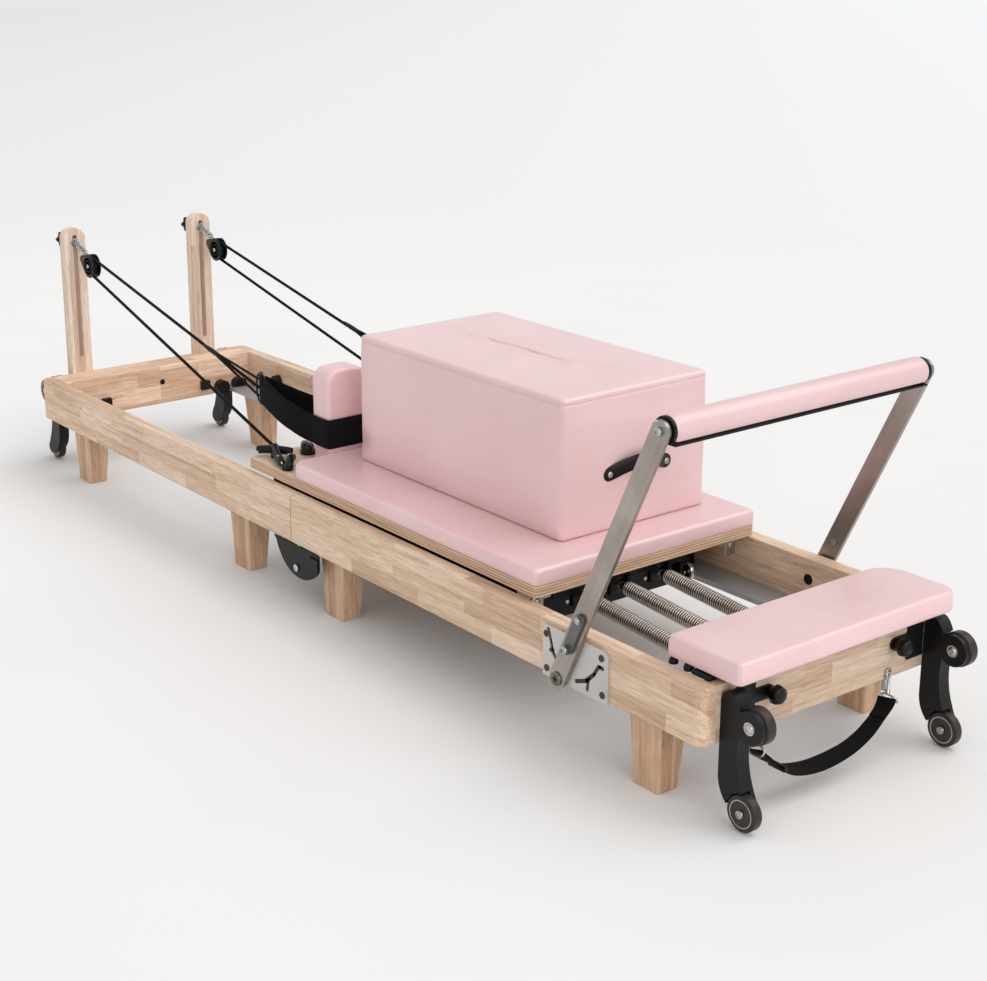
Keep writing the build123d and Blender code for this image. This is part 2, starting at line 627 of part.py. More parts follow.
# ---- carriage ----
def make_carriage():
    """Sliding carriage: plywood board, pad, steel underframe, shoulder rests and rope cleats."""
    wide = (-CARRIAGE_HALF_WIDTH, CARRIAGE_HALF_WIDTH)
    with BuildPart() as board:
        bar((CARRIAGE_HEAD, CARRIAGE_FOOT), wide, (BOARD_BOTTOM, BOARD_TOP))
        fillet(board.edges().filter_by(Axis.Z), 10)
    save("carriage_board", board.part)
    with BuildPart() as pad:
        bar((PAD_HEAD, CARRIAGE_FOOT), wide, (BOARD_TOP, PAD_TOP))
        corners = pad.edges().filter_by(Axis.Z).group_by(Axis.X)
        fillet(corners[0], 35)
        fillet(corners[-1], 12)
        fillet(pad.edges().group_by(Axis.Z)[-1], 8)
    save("carriage_pad", pad.part)
    with BuildPart() as frame:
        for y in both(229, 234):
            bar((-190, 664), y, (166, BOARD_BOTTOM))
        for x in ((-190, -185), (300, 305)):
            bar(x, (-229, 229), (186, BOARD_BOTTOM))
        bar((716, 721), (-229, 150), (168, BOARD_BOTTOM))
        bar((721, 732), (-200, 134), (214, BOARD_BOTTOM))
        for x in ROLLER_X:
            rod_y(x, ROLLER_Z, 4 + RUNNING, (-240, 240), mode=Mode.SUBTRACT)
    save("carriage_frame", frame.part)
    for name, x in zip(("head", "foot"), ROLLER_X):
        with BuildPart() as rollers:
            rod_y(x, ROLLER_Z, 4, (-238, 238))
            for y in both(206, 226):
                rod_y(x, ROLLER_Z, ROLLER_R, y)
        save(f"roller_set_{name}", rollers.part)
    with BuildPart() as rests:
        for y in both(72, 178):
            bar((-111, -47), y, (BOARD_TOP, 485))
        fillet(rests.edges().filter_by(Axis.X).group_by(Axis.Z)[-1], 26)
        fillet(rests.edges().group_by(Axis.X)[0], 8)
        fillet(rests.edges().group_by(Axis.X)[-1], 8)
    save("shoulder_rests", rests.part)
    with BuildPart() as cleats:
        for side in (-1, 1):
            bar((-200, -140), sorted((side * 212, side * 252)), (BOARD_TOP, 280))
            bar((-184, -150), sorted((side * 222, side * 242)), (280, 302))
            bar((-152, -110), sorted((side * 238, side * 254)), (BOARD_TOP, 284))
            bar((-110, -62), sorted((side * 246, side * 270)), (BOARD_TOP, 296))
            bar((-178, -140), sorted((side * 144, side * 176)), (BOARD_TOP, 292))
    save("rope_cleats", cleats.part)


def rope_corners(side):
    """Route of one pulling rope: cleat, under the sheave, back over it, and on to the loop's ring."""
    cx, cz = BLOCK_AXLE
    back = cx - ROPE_WRAP_R
    ends = []
    for (px, _, pz), turn in ((CLEAT_POINT, 1), (RING_POINT, -1)):
        to_centre = math.atan2(cz - pz, cx - px)
        spread = math.asin(ROPE_WRAP_R / math.dist((px, pz), (cx, cz)))
        angle = to_centre + turn * spread
        ends.append((back, pz + math.tan(angle) * (back - px)))
    y = side * RISER_Y
    return [
        (CLEAT_POINT[0], side * CLEAT_POINT[1], CLEAT_POINT[2]),
        (ends[0][0], y, ends[0][1]),
        (ends[1][0], y, ends[1][1]),
        (RING_POINT[0] - 11, side * RING_POINT[1], RING_POINT[2]),
    ]


def make_ropes():
    with BuildPart() as ropes:
        for side in (-1, 1):
            with BuildLine() as route:
                FilletPolyline(*rope_corners(side), radius=ROPE_WRAP_R)
            with BuildSketch(Plane(origin=route.line @ 0, z_dir=route.line % 0)):
                Circle(ROPE_R)
            sweep(path=route.line)
    save("pull_ropes", ropes.part)


def make_loops():
    """Webbing loops round the shoulder rests and the rings that join them to the ropes."""
    with BuildPart() as loops:
        for side in (-1, 1):
            with BuildSketch(Plane.XY.offset(322)):
                ring = [(RING_POINT[0] + 9.5, RING_POINT[1]), (-114, 182), (-43, 182), (-43, 68), (-114, 68)]
                points = [(x, side * y) for x, y in ring]
                with BuildLine():
                    Polyline(*points, close=True)
                make_face()
                with BuildLine():
                    inner = [(RING_POINT[0] + 18, 196), (-112, 179), (-46, 179), (-46, 71), (-112, 71)]
                    Polyline(*[(x, side * y) for x, y in inner], close=True)
                make_face(mode=Mode.SUBTRACT)
            extrude(amount=66)
    save("rope_loops", loops.part)
    with BuildPart() as rings:
        for side in (-1, 1):
            x, y, z = RING_POINT
            for height in ((z - 34, z - 30), (z + 30, z + 34)):
                bar((x - 7, x + 7), sorted((side * (y - 2), side * (y + 2))), height)
            for span in ((x - 9, x - 5), (x + 5, x + 9)):
                bar(span, sorted((side * (y - 2), side * (y + 2))), (z - 34, z + 34))
    save("loop_rings", rings.part)


def make_sitting_box():
    """Upholstered box that stands loose on the carriage, with its carrying handle."""
    with BuildPart() as box:
        bar(BOX_X, BOX_Y, BOX_Z)
        fillet(box.edges().filter_by(Axis.Z), 14)
        fillet(box.edges().group_by(Axis.Z)[-1], 12)
        hollow = [(low + BOX_WALL, high - BOX_WALL) for low, high in (BOX_X, BOX_Y, BOX_Z)]
        bar(*hollow, mode=Mode.SUBTRACT)
    save("sitting_box", box.part)
    face = BOX_X[1]
    with BuildPart() as handle:
        for y in (-35, 110):
            rod_x(y, 416, 13, (face, face + 3))
            rod_x(y, 416, 5, (face + 3, face + 6))
        with BuildSketch(Plane.XY.offset(410)):
            with BuildLine():
                outer = ThreePointArc((face + 3, -41), (face + 22, 37), (face + 3, 116))
                Line(outer @ 1, (face + 0.5, 116))
                inner = ThreePointArc((face + 0.5, 116), (face + 19, 37), (face + 0.5, -41))
                Line(inner @ 1, outer @ 0)
            make_face()
        extrude(amount=26)
    save("box_handle", handle.part)


make_rails("foot_rails", (FOLD_GAP, HALF_LENGTH), HALF_LENGTH)
make_rails("head_rails", (-HALF_LENGTH, -FOLD_GAP), -HALF_LENGTH)
KNOB_HOLES = [(y, KNOB_Z, 4 + RUNNING) for y in (-KNOB_Y, KNOB_Y)]
make_crossbeams("foot_crossbeams", (HALF_LENGTH - FOOT_BEAM_DEPTH, HALF_LENGTH), (6, 66), KNOB_HOLES)
make_crossbeams("head_crossbeams", (-HALF_LENGTH, -HALF_LENGTH + HEAD_BEAM_DEPTH), (-66, -6), [(6, 200, 7)])
make_legs("foot_legs", LEG_FOOT_CENTRES)
make_legs("head_legs", LEG_HEAD_CENTRES)
make_tracks("foot_tracks", (2, HALF_LENGTH - FOOT_BEAM_DEPTH))
make_tracks("head_tracks", (-HALF_LENGTH + HEAD_BEAM_DEPTH + 26, -2))
make_hinge_leaves("hinge_fixed_leaves", 1, (284.0, 292.0))
make_hinge_leaves("hinge_moving_leaves", -1, (294.0, 304.0))
make_hinge_pins()
make_hinge_covers()
make_wheel_ends()
make_risers()
make_rope_buffers()
make_pulley_hangers()
make_footbar_plates()
make_footbar()
make_lock_levers()
make_platform()
make_springs()
make_foot_strap()
make_foot_hardware()
make_carriage()
make_ropes()
make_loops()
make_sitting_box()
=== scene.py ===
"""Looks of the folding pilates reformer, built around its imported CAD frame.

Lengths in this script are millimetres in the row's frame; SCALE turns them into metres.
"""

import json
import math

import bmesh
import bpy
import numpy as np
from mathutils import Matrix, Vector
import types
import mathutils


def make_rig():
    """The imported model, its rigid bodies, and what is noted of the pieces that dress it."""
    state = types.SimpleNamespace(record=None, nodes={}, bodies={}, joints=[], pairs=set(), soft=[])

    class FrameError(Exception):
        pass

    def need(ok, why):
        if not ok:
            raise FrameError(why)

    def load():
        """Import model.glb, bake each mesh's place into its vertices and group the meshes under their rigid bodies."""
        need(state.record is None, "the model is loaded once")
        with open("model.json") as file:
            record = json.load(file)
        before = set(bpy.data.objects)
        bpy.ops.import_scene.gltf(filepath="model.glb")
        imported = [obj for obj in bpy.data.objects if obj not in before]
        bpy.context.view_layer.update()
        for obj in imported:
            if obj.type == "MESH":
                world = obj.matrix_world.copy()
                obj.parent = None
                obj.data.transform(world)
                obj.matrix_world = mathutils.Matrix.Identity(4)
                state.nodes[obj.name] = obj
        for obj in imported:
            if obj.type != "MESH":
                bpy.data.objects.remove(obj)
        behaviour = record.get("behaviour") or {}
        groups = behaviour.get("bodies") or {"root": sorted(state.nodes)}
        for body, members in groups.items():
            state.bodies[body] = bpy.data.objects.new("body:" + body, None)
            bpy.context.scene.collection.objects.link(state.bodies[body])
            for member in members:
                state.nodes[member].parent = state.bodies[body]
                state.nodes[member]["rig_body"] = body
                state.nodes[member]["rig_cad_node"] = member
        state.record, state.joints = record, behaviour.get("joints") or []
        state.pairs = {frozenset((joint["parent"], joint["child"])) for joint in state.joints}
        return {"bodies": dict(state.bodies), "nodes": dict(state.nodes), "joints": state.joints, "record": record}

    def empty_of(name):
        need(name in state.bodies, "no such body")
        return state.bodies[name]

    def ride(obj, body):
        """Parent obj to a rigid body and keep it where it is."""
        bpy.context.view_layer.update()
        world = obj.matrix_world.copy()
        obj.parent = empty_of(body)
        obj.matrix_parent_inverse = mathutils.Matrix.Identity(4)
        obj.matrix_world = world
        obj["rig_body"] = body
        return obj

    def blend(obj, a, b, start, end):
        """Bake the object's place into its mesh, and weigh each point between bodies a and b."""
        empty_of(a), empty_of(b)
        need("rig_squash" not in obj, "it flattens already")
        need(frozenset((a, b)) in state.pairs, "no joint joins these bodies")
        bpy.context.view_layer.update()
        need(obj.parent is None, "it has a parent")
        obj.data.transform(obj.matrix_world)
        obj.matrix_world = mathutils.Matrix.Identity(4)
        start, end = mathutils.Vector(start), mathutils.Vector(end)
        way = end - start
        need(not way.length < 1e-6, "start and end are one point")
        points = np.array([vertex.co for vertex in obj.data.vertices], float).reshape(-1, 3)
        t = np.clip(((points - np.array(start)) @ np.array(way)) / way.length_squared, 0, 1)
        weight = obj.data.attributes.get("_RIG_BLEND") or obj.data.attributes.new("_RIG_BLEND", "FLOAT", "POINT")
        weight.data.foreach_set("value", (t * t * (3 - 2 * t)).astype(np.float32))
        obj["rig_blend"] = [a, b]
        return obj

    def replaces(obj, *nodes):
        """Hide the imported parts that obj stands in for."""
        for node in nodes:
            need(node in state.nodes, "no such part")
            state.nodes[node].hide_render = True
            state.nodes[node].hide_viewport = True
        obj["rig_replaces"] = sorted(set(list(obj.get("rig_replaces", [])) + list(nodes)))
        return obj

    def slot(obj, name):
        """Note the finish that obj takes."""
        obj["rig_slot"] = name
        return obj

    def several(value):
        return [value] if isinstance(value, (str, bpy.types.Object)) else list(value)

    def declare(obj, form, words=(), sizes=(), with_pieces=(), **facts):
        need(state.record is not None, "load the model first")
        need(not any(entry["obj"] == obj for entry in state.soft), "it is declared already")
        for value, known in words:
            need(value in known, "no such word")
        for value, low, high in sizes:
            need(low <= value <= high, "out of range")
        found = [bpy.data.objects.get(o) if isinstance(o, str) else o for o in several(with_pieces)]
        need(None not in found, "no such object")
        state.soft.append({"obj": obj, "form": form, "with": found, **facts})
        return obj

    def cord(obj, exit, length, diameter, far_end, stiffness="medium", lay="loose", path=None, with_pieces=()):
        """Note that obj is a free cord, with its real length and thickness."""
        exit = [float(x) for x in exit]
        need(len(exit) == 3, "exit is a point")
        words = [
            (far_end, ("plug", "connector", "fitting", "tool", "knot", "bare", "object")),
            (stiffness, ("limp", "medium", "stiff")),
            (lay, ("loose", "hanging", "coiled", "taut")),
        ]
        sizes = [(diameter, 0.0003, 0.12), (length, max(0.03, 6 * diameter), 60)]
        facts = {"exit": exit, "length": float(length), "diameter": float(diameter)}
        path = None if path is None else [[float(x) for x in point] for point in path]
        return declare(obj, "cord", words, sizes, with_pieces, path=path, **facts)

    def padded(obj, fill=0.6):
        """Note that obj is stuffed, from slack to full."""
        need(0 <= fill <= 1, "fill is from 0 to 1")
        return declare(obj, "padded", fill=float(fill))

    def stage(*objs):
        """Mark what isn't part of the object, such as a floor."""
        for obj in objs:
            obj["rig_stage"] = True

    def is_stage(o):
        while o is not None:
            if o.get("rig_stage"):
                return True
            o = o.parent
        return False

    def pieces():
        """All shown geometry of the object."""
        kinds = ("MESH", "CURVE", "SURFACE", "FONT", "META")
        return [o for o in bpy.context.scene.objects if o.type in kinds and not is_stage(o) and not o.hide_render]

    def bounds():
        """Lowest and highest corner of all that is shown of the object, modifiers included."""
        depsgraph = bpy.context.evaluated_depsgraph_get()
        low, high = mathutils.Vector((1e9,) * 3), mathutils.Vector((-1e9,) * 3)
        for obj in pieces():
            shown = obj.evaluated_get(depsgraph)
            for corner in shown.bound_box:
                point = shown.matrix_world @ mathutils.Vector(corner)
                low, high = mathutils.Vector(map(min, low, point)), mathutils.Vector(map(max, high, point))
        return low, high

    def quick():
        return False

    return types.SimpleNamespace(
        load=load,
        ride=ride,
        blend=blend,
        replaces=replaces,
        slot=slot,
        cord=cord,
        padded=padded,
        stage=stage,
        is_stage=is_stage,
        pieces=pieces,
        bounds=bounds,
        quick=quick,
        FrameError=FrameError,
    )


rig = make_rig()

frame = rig.load()
cad_low, cad_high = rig.bounds()
NODES = frame["nodes"]
SCALE = 0.001


# ---- colours and shader nodes ----
def srgb(*rgb):
    """Linear colour from 0-255 display values."""
    out = []
    for v in rgb:
        v /= 255.0
        out.append(v / 12.92 if v <= 0.04045 else ((v + 0.055) / 1.055) ** 2.4)
    return (*out, 1.0)


def dimmed(rgb, share):
    """Linear colour of a display colour, with its light cut to a share."""
    return tuple(c * share for c in srgb(*rgb)[:3]) + (1.0,)


class Shader:
    """One node material with short helpers for the nodes it needs."""

    def __init__(self, name):
        self.material = bpy.data.materials.new(name)
        self.material.use_nodes = True
        self.tree = self.material.node_tree
        self.nodes = self.tree.nodes
        self.bsdf = self.nodes["Principled BSDF"]
        self.place = self.nodes.new("ShaderNodeTexCoord").outputs["Object"]

    def link(self, a, b):
        self.tree.links.new(a, b)

    def feed(self, socket, value):
        """Gives a socket a plain value, or links it to the output of another node."""
        if isinstance(value, (int, float, tuple)):
            socket.default_value = value
        else:
            self.link(value, socket)

    def node(self, kind, **inputs):
        """A new node with its inputs fed by name; an underscore stands for a space."""
        node = self.nodes.new("ShaderNode" + kind)
        for key, value in inputs.items():
            self.feed(node.inputs[key.replace("_", " ")], value)
        return node

    def set(self, **values):
        for key, value in values.items():
            self.bsdf.inputs[key.replace("_", " ")].default_value = value

    def split(self, vector):
        return self.node("SeparateXYZ", Vector=vector).outputs

    def joined(self, *parts):
        node = self.nodes.new("ShaderNodeCombineXYZ")
        for socket, part in zip(node.inputs, parts):
            self.feed(socket, part)
        return node.outputs[0]

    def mapped(self, scale=(1, 1, 1), about_y=0.0):
        turn = self.node("Mapping", Vector=self.place, Rotation=(0, math.radians(about_y), 0))
        return self.node("Mapping", Vector=turn.outputs["Vector"], Scale=scale).outputs["Vector"]

    def noise(self, vector, scale, detail=4.0, rough=0.55, distortion=0.0):
        node = self.node("TexNoise", Vector=vector, Scale=scale, Detail=detail, Roughness=rough,
                         Distortion=distortion)
        return node.outputs["Fac"]

    def cells(self, vector, scale):
        node = self.nodes.new("ShaderNodeTexVoronoi")
        node.feature = "SMOOTH_F1"
        for key, value in (("Vector", vector), ("Scale", scale), ("Randomness", 1.0)):
            self.feed(node.inputs[key], value)
        return node.outputs["Distance"]

    def waves(self, vector, scale, direction, distortion):
        node = self.node("TexWave", Vector=vector, Scale=scale, Distortion=distortion, Detail=2.0)
        node.bands_direction = direction
        return node.outputs["Fac"]

    def ramp(self, factor, *stops):
        node = self.node("ValToRGB", Fac=factor)
        ramp = node.color_ramp
        while len(ramp.elements) < len(stops):
            ramp.elements.new(0.5)
        for element, (place, colour) in zip(ramp.elements, stops):
            element.position = place
            element.color = colour
        return node.outputs["Color"]

    def mix(self, factor, a, b, blend="MIX"):
        node = self.nodes.new("ShaderNodeMix")
        node.data_type = "RGBA"
        node.blend_type = blend
        for place, value in ((0, factor), (6, a), (7, b)):
            self.feed(node.inputs[place], value)
        return node.outputs[2]

    def math(self, operation, a, b=0.0):
        node = self.nodes.new("ShaderNodeMath")
        node.operation = operation
        self.feed(node.inputs[0], a)
        self.feed(node.inputs[1], b)
        return node.outputs[0]

    def weighted(self, a, a_share, b, b_share):
        return self.math("ADD", self.math("MULTIPLY", a, a_share), self.math("MULTIPLY", b, b_share))

    def colour(self, output):
        self.link(output, self.bsdf.inputs["Base Color"])

    def roughness(self, factor, low, high):
        node = self.node("MapRange", Value=factor, To_Min=low, To_Max=high)
        self.link(node.outputs["Result"], self.bsdf.inputs["Roughness"])

    def bump(self, height, strength, distance):
        node = self.node("Bump", Height=height, Strength=strength, Distance=distance * SCALE)
        self.link(node.outputs["Normal"], self.bsdf.inputs["Normal"])


def wood(name, along, lamella, board, tone):
    """Finger-jointed light hardwood: short boards of differing tone, with grain along one axis."""
    s = Shader(name)
    split = s.split(s.place)
    run = split["XYZ".index(along)]
    one, other = (split[i] for i in range(3) if "XYZ"[i] != along)
    brick = s.node(
        "TexBrick", Vector=s.joined(run, s.math("ADD", one, other)), Scale=1.0, Mortar_Size=0.00035,
        Mortar_Smooth=0.2, Bias=0.0, Brick_Width=board * SCALE, Row_Height=lamella * SCALE,
        Color1=(0, 0, 0, 1), Color2=(1, 1, 1, 1), Mortar=(0.5, 0.5, 0.5, 1),
    )
    brick.offset, brick.offset_frequency = 0.37, 2
    brick.squash, brick.squash_frequency = 0.72, 3
    board_tone = brick.outputs["Color"]

    def stretched(long, cross):
        parts = ((run, long), (one, cross), (other, cross))
        return s.joined(*(s.math("MULTIPLY", part, by) for part, by in parts))

    # tone tints the whole wood; the lighter tints of the head beams and risers are painted light, the darker tints of
    # the legs and foot beams painted shade
    def toned(*rgb):
        return srgb(*[min(255, v * t) for v, t in zip(rgb, tone)])

    offset = s.nodes.new("ShaderNodeVectorMath")
    offset.operation = "MULTIPLY_ADD"
    for socket, value in zip(offset.inputs, (board_tone, (7.0, 11.0, 5.0), stretched(3.2, 62.0))):
        s.feed(socket, value)
    figure = s.noise(offset.outputs[0], 1.0, 5.0, 0.6, 0.9)
    pores = s.noise(stretched(24.0, 720.0), 1.0, 3.0, 0.6)
    base = s.ramp(
        figure, (0.28, toned(199, 165, 138)), (0.45, toned(221, 191, 166)),
        (0.62, toned(233, 207, 185)), (0.8, toned(214, 181, 154)),
    )
    boards = s.ramp(
        board_tone, (0.0, srgb(226, 214, 203)), (0.5, srgb(247, 240, 233)), (1.0, srgb(255, 254, 252)),
    )
    streaks = s.ramp(pores, (0.40, srgb(205, 190, 176)), (0.56, (1, 1, 1, 1)))
    s.colour(s.mix(0.55, s.mix(1.0, base, boards, "MULTIPLY"), streaks, "MULTIPLY"))
    s.roughness(pores, 0.56, 0.42)
    s.bump(pores, 0.25, 0.25)
    s.set(Specular_IOR_Level=0.35)
    return s.material


def plywood(name, low, high, layers):
    """Birch plywood: veneer face and an edge of alternating layers between two heights."""
    s = Shader(name)
    above = s.math("SUBTRACT", s.split(s.place)[2], low * SCALE)
    parity = s.math("PINGPONG", s.math("DIVIDE", above, (high - low) * SCALE / layers), 1.0)
    long = s.noise(s.mapped((9, 9, 420)), 1.0, 5.0, 0.65)
    plies = s.mix(s.math("GREATER_THAN", parity, 0.5), srgb(186, 153, 124), srgb(222, 194, 166))
    streak = s.ramp(long, (0.32, srgb(190, 168, 146)), (0.58, (1, 1, 1, 1)))
    figure = s.noise(s.mapped((3, 70, 3)), 1.0, 6.0, 0.6, 0.8)
    veneer = s.ramp(figure, (0.3, srgb(212, 181, 150)), (0.7, srgb(232, 207, 180)))
    up = s.split(s.nodes.new("ShaderNodeNewGeometry").outputs["Normal"])[2]
    flat = s.math("GREATER_THAN", s.math("ABSOLUTE", up), 0.75)
    s.colour(s.mix(flat, s.mix(0.8, plies, streak, "MULTIPLY"), veneer))
    s.bump(long, 0.3, 0.3)
    s.set(Roughness=0.5, Specular_IOR_Level=0.35)
    return s.material


def leather(name, light, dark):
    """Smooth synthetic leather: fine pebbled grain, faint broad tone changes and a soft sheen."""
    s = Shader(name)
    grain = s.cells(s.mapped(), 620.0)
    broad = s.noise(s.mapped(), 5.0, 3.0)
    mottled = s.noise(s.mapped(), 46.0, 4.0)
    s.colour(s.ramp(s.weighted(broad, 0.75, mottled, 0.25), (0.35, dark), (0.62, light)))
    s.roughness(mottled, 0.3, 0.44)
    s.bump(s.math("ADD", grain, s.math("MULTIPLY", mottled, 0.6)), 0.16, 0.22)
    s.set(Specular_IOR_Level=0.95, Coat_Weight=0.4, Coat_Roughness=0.32, Sheen_Weight=0.3,
          Sheen_Roughness=0.3, Sheen_Tint=(1.0, 0.96, 0.96, 1.0))
    return s.material


def plastic(name, rgb, rough=(0.34, 0.5), grain=900.0, strength=0.12, coat=0.0):
    """Moulded plastic or powder coat: fine texture and uneven gloss."""
    s = Shader(name)
    fine = s.noise(s.mapped(), grain, 2.0)
    broad = s.noise(s.mapped(), 22.0, 3.0)
    s.colour(s.ramp(broad, (0.3, dimmed(rgb, 0.72)), (0.7, srgb(*rgb))))
    s.roughness(broad, *rough)
    s.bump(fine, strength, 0.12)
    s.set(Specular_IOR_Level=0.28, Coat_Weight=coat, Coat_Roughness=0.25)
    return s.material


def brushed(name, light, dark, turn=0.0, rough=(0.26, 0.42), metallic=1.0, stretch=1400.0):
    """Brushed metal with its lines along X, turned about Y by an angle in degrees."""
    s = Shader(name)
    lines = s.noise(s.mapped((12, stretch, stretch), turn), 1.0, 4.0, 0.65)
    broad = s.noise(s.mapped(), 9.0, 3.0)
    s.colour(s.ramp(s.weighted(lines, 0.55, broad, 0.45), (0.32, srgb(*dark)), (0.66, srgb(*light))))
    s.roughness(lines, *rough)
    s.bump(lines, 0.08, 0.1)
    s.set(Metallic=metallic)
    return s.material


def webbing(name, rgb, pitch=1.7):
    """Black woven strap: small crossed ribs."""
    s = Shader(name)
    vector = s.mapped()
    ribs = [s.waves(vector, 1.0 / (pitch * SCALE) / 2.0, axis, 0.6) for axis in "XYZ"]
    weave = s.math("MULTIPLY", s.math("MAXIMUM", ribs[0], ribs[1]), ribs[2])
    fuzz = s.noise(vector, 300.0, 3.0)
    s.colour(s.ramp(s.weighted(weave, 0.6, fuzz, 0.4), (0.1, dimmed(rgb, 0.4)), (0.8, srgb(*rgb))))
    s.roughness(fuzz, 0.7, 0.9)
    s.bump(weave, 0.5, 0.5)
    s.set(Specular_IOR_Level=0.15, Sheen_Weight=0.02, Sheen_Roughness=0.5)
    return s.material


M = {
    "wood_x": wood("rubberwood_x", "X", 34.0, 230.0, (1.045, 1.075, 1.09)),
    # painted shade: the foot crossbeams get a darker tint of the same rubberwood, against the strong front light on
    # their faces
    "foot_beam_wood_shaded": wood("foot_beam_rubberwood_shaded", "Y", 40.0, 260.0, (0.965, 0.995, 1.02)),
    # painted light: the head crossbeams get a lighter tint of the same rubberwood, for their inner face that lies in
    # shade
    "head_beam_wood_lit": wood("head_beam_rubberwood_lit", "Y", 40.0, 260.0, (1.065, 1.065, 1.075)),
    # painted shade: the legs get a darker tint of the same rubberwood, as they stand in the shade under the frame
    "leg_wood_shaded": wood("leg_rubberwood_shaded", "Z", 26.0, 900.0, (0.97, 0.95, 0.92)),
    # painted light: the risers get a lighter tint of the same rubberwood, for faces that lie in shade
    "riser_wood_lit": wood("riser_rubberwood_lit", "Z", 30.0, 1200.0, (1.05, 1.11, 1.17)),
    "ply": plywood("birch_plywood", 250.0, 272.0, 8),
    "ply_thin": plywood("birch_plywood_thin", 253.0, 263.0, 5),
    "pink": leather("pink_leather", srgb(232, 196, 197), srgb(227, 188, 190)),
    # painted shade: a darker copy of the pink leather for the footbar pad, whose rounded top takes the most light
    "shaded_pink_for_bar": leather("pink_leather_shaded_for_bar", srgb(222, 187, 188), srgb(217, 180, 181)),
    "black": plastic("black_plastic", (13, 13, 14)),
    "black_gloss": plastic("black_gloss_plastic", (9, 9, 10), (0.24, 0.36), 500.0, 0.05),
    "powder": plastic("black_powder_coat", (12, 12, 13), (0.36, 0.5), 1500.0, 0.2),
    "rubber": plastic("black_rubber", (16, 16, 16), (0.5, 0.66), 700.0, 0.2),
    "web": webbing("black_webbing", (12, 12, 14)),
    "rope": webbing("black_rope", (12, 12, 13), 1.2),
    "arm": brushed("brushed_arm", (182, 174, 166), (142, 134, 126), 64.9),
    "steel": brushed("zinc_steel", (214, 213, 210), (150, 148, 145), 0.0, (0.16, 0.3)),
    "spring": brushed("nickel_spring", (216, 207, 197), (128, 119, 110), 90.0, (0.16, 0.28)),
    "plate": brushed("grey_plate", (212, 209, 204), (192, 189, 184), 0.0, (0.4, 0.52), 0.55, 300.0),
    "track": brushed("anodised_track", (192, 193, 195), (166, 167, 170), 0.0, (0.48, 0.6), 0.8),
    "tyre": plastic("polyurethane_tyre", (50, 43, 39), (0.28, 0.42), 300.0, 0.05, 0.08),
    "hub": plastic("brown_hub", (62, 47, 42), (0.3, 0.45), 400.0, 0.08, 0.15),
    "lever": brushed("grey_lever", (120, 122, 122), (92, 94, 95), 64.9, (0.36, 0.48), 0.6),
    # painted shade: dark fill for holes, recesses and the gap at the fold, where shade falls
    "hole": plastic("painted_hole_shade", (10, 9, 8), (0.7, 0.8)),
    # painted shade: slot_shadow fills the insides of the plate slots; the plate screws take it too
    "slot": plastic("slot_shadow", (84, 70, 59), (0.7, 0.8)),
    "dark_steel": brushed("dark_steel", (134, 127, 119), (86, 80, 74), 0.0, (0.26, 0.4)),
}


# ---- mesh building ----
ALONG_X, ALONG_Y, ALONG_Z = (1, 0, 0), (0, 1, 0), (0, 0, 1)
HANDS = ((-1, "right"), (1, "left"))


class Piece:
    """A mesh made of several shapes, each with its own material; lengths in millimetres."""

    def __init__(self, name):
        self.name = name
        self.bm = bmesh.new()
        self.materials = []

    def add(self, shape, material, bevel=0.0):
        verts, faces = shape
        if material not in self.materials:
            self.materials.append(material)
        index = self.materials.index(material)
        part = bmesh.new()
        made = [part.verts.new(Vector(v) * SCALE) for v in verts]
        for face in faces:
            if len(set(face)) > 2:
                try:
                    part.faces.new([made[i] for i in face])
                except ValueError:
                    pass
        bmesh.ops.remove_doubles(part, verts=part.verts[:], dist=1e-7)
        bmesh.ops.recalc_face_normals(part, faces=part.faces[:])
        if bevel > 0:
            part.normal_update()
            sharp = [e for e in part.edges if len(e.link_faces) == 2 and e.calc_face_angle(0) > 0.6]
            bmesh.ops.bevel(
                part, geom=sharp, offset=bevel * SCALE, segments=2, profile=0.5,
                affect="EDGES", clamp_overlap=True,
            )
        for face in part.faces:
            face.material_index = index
            face.smooth = True
        mesh = bpy.data.meshes.new("part")
        part.to_mesh(mesh)
        self.bm.from_mesh(mesh)
        bpy.data.meshes.remove(mesh)
        part.free()
        return self

    def done(self, body=None, replaces=(), slot=None, angle=38.0):
        mesh = bpy.data.meshes.new(self.name)
        self.bm.to_mesh(mesh)
        self.bm.free()
        for key in self.materials:
            mesh.materials.append(M[key])
        mesh.set_sharp_from_angle(angle=math.radians(angle))
        obj = bpy.data.objects.new(self.name, mesh)
        bpy.context.scene.collection.objects.link(obj)
        if body:
            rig.ride(obj, body)
        if replaces:
            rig.replaces(obj, *replaces)
        if slot:
            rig.slot(obj, slot)
        return obj


def rings(loops, closed=False):
    """Skin over loops of equal length; the ends are capped unless the row of loops closes on itself."""
    count, size = len(loops), len(loops[0])
    verts = [tuple(p) for loop in loops for p in loop]
    faces = []
    for i in range(count if closed else count - 1):
        a, b = i * size, ((i + 1) % count) * size
        for j in range(size):
            k = (j + 1) % size
            faces.append((a + j, a + k, b + k, b + j))
    if not closed:
        faces.append(tuple(range(size)))
        faces.append(tuple((count - 1) * size + j for j in range(size)))
    return verts, faces


def around(count):
    """Angles of evenly spaced points round a circle."""
    return [2 * math.pi * k / count for k in range(count)]


def basis(axis):
    """Two unit vectors square to an axis."""
    axis = Vector(axis).normalized()
    side = axis.cross(Vector(ALONG_Z))
    if side.length < 1e-3:
        side = axis.cross(Vector(ALONG_Y))
    side.normalize()
    return side, axis.cross(side)


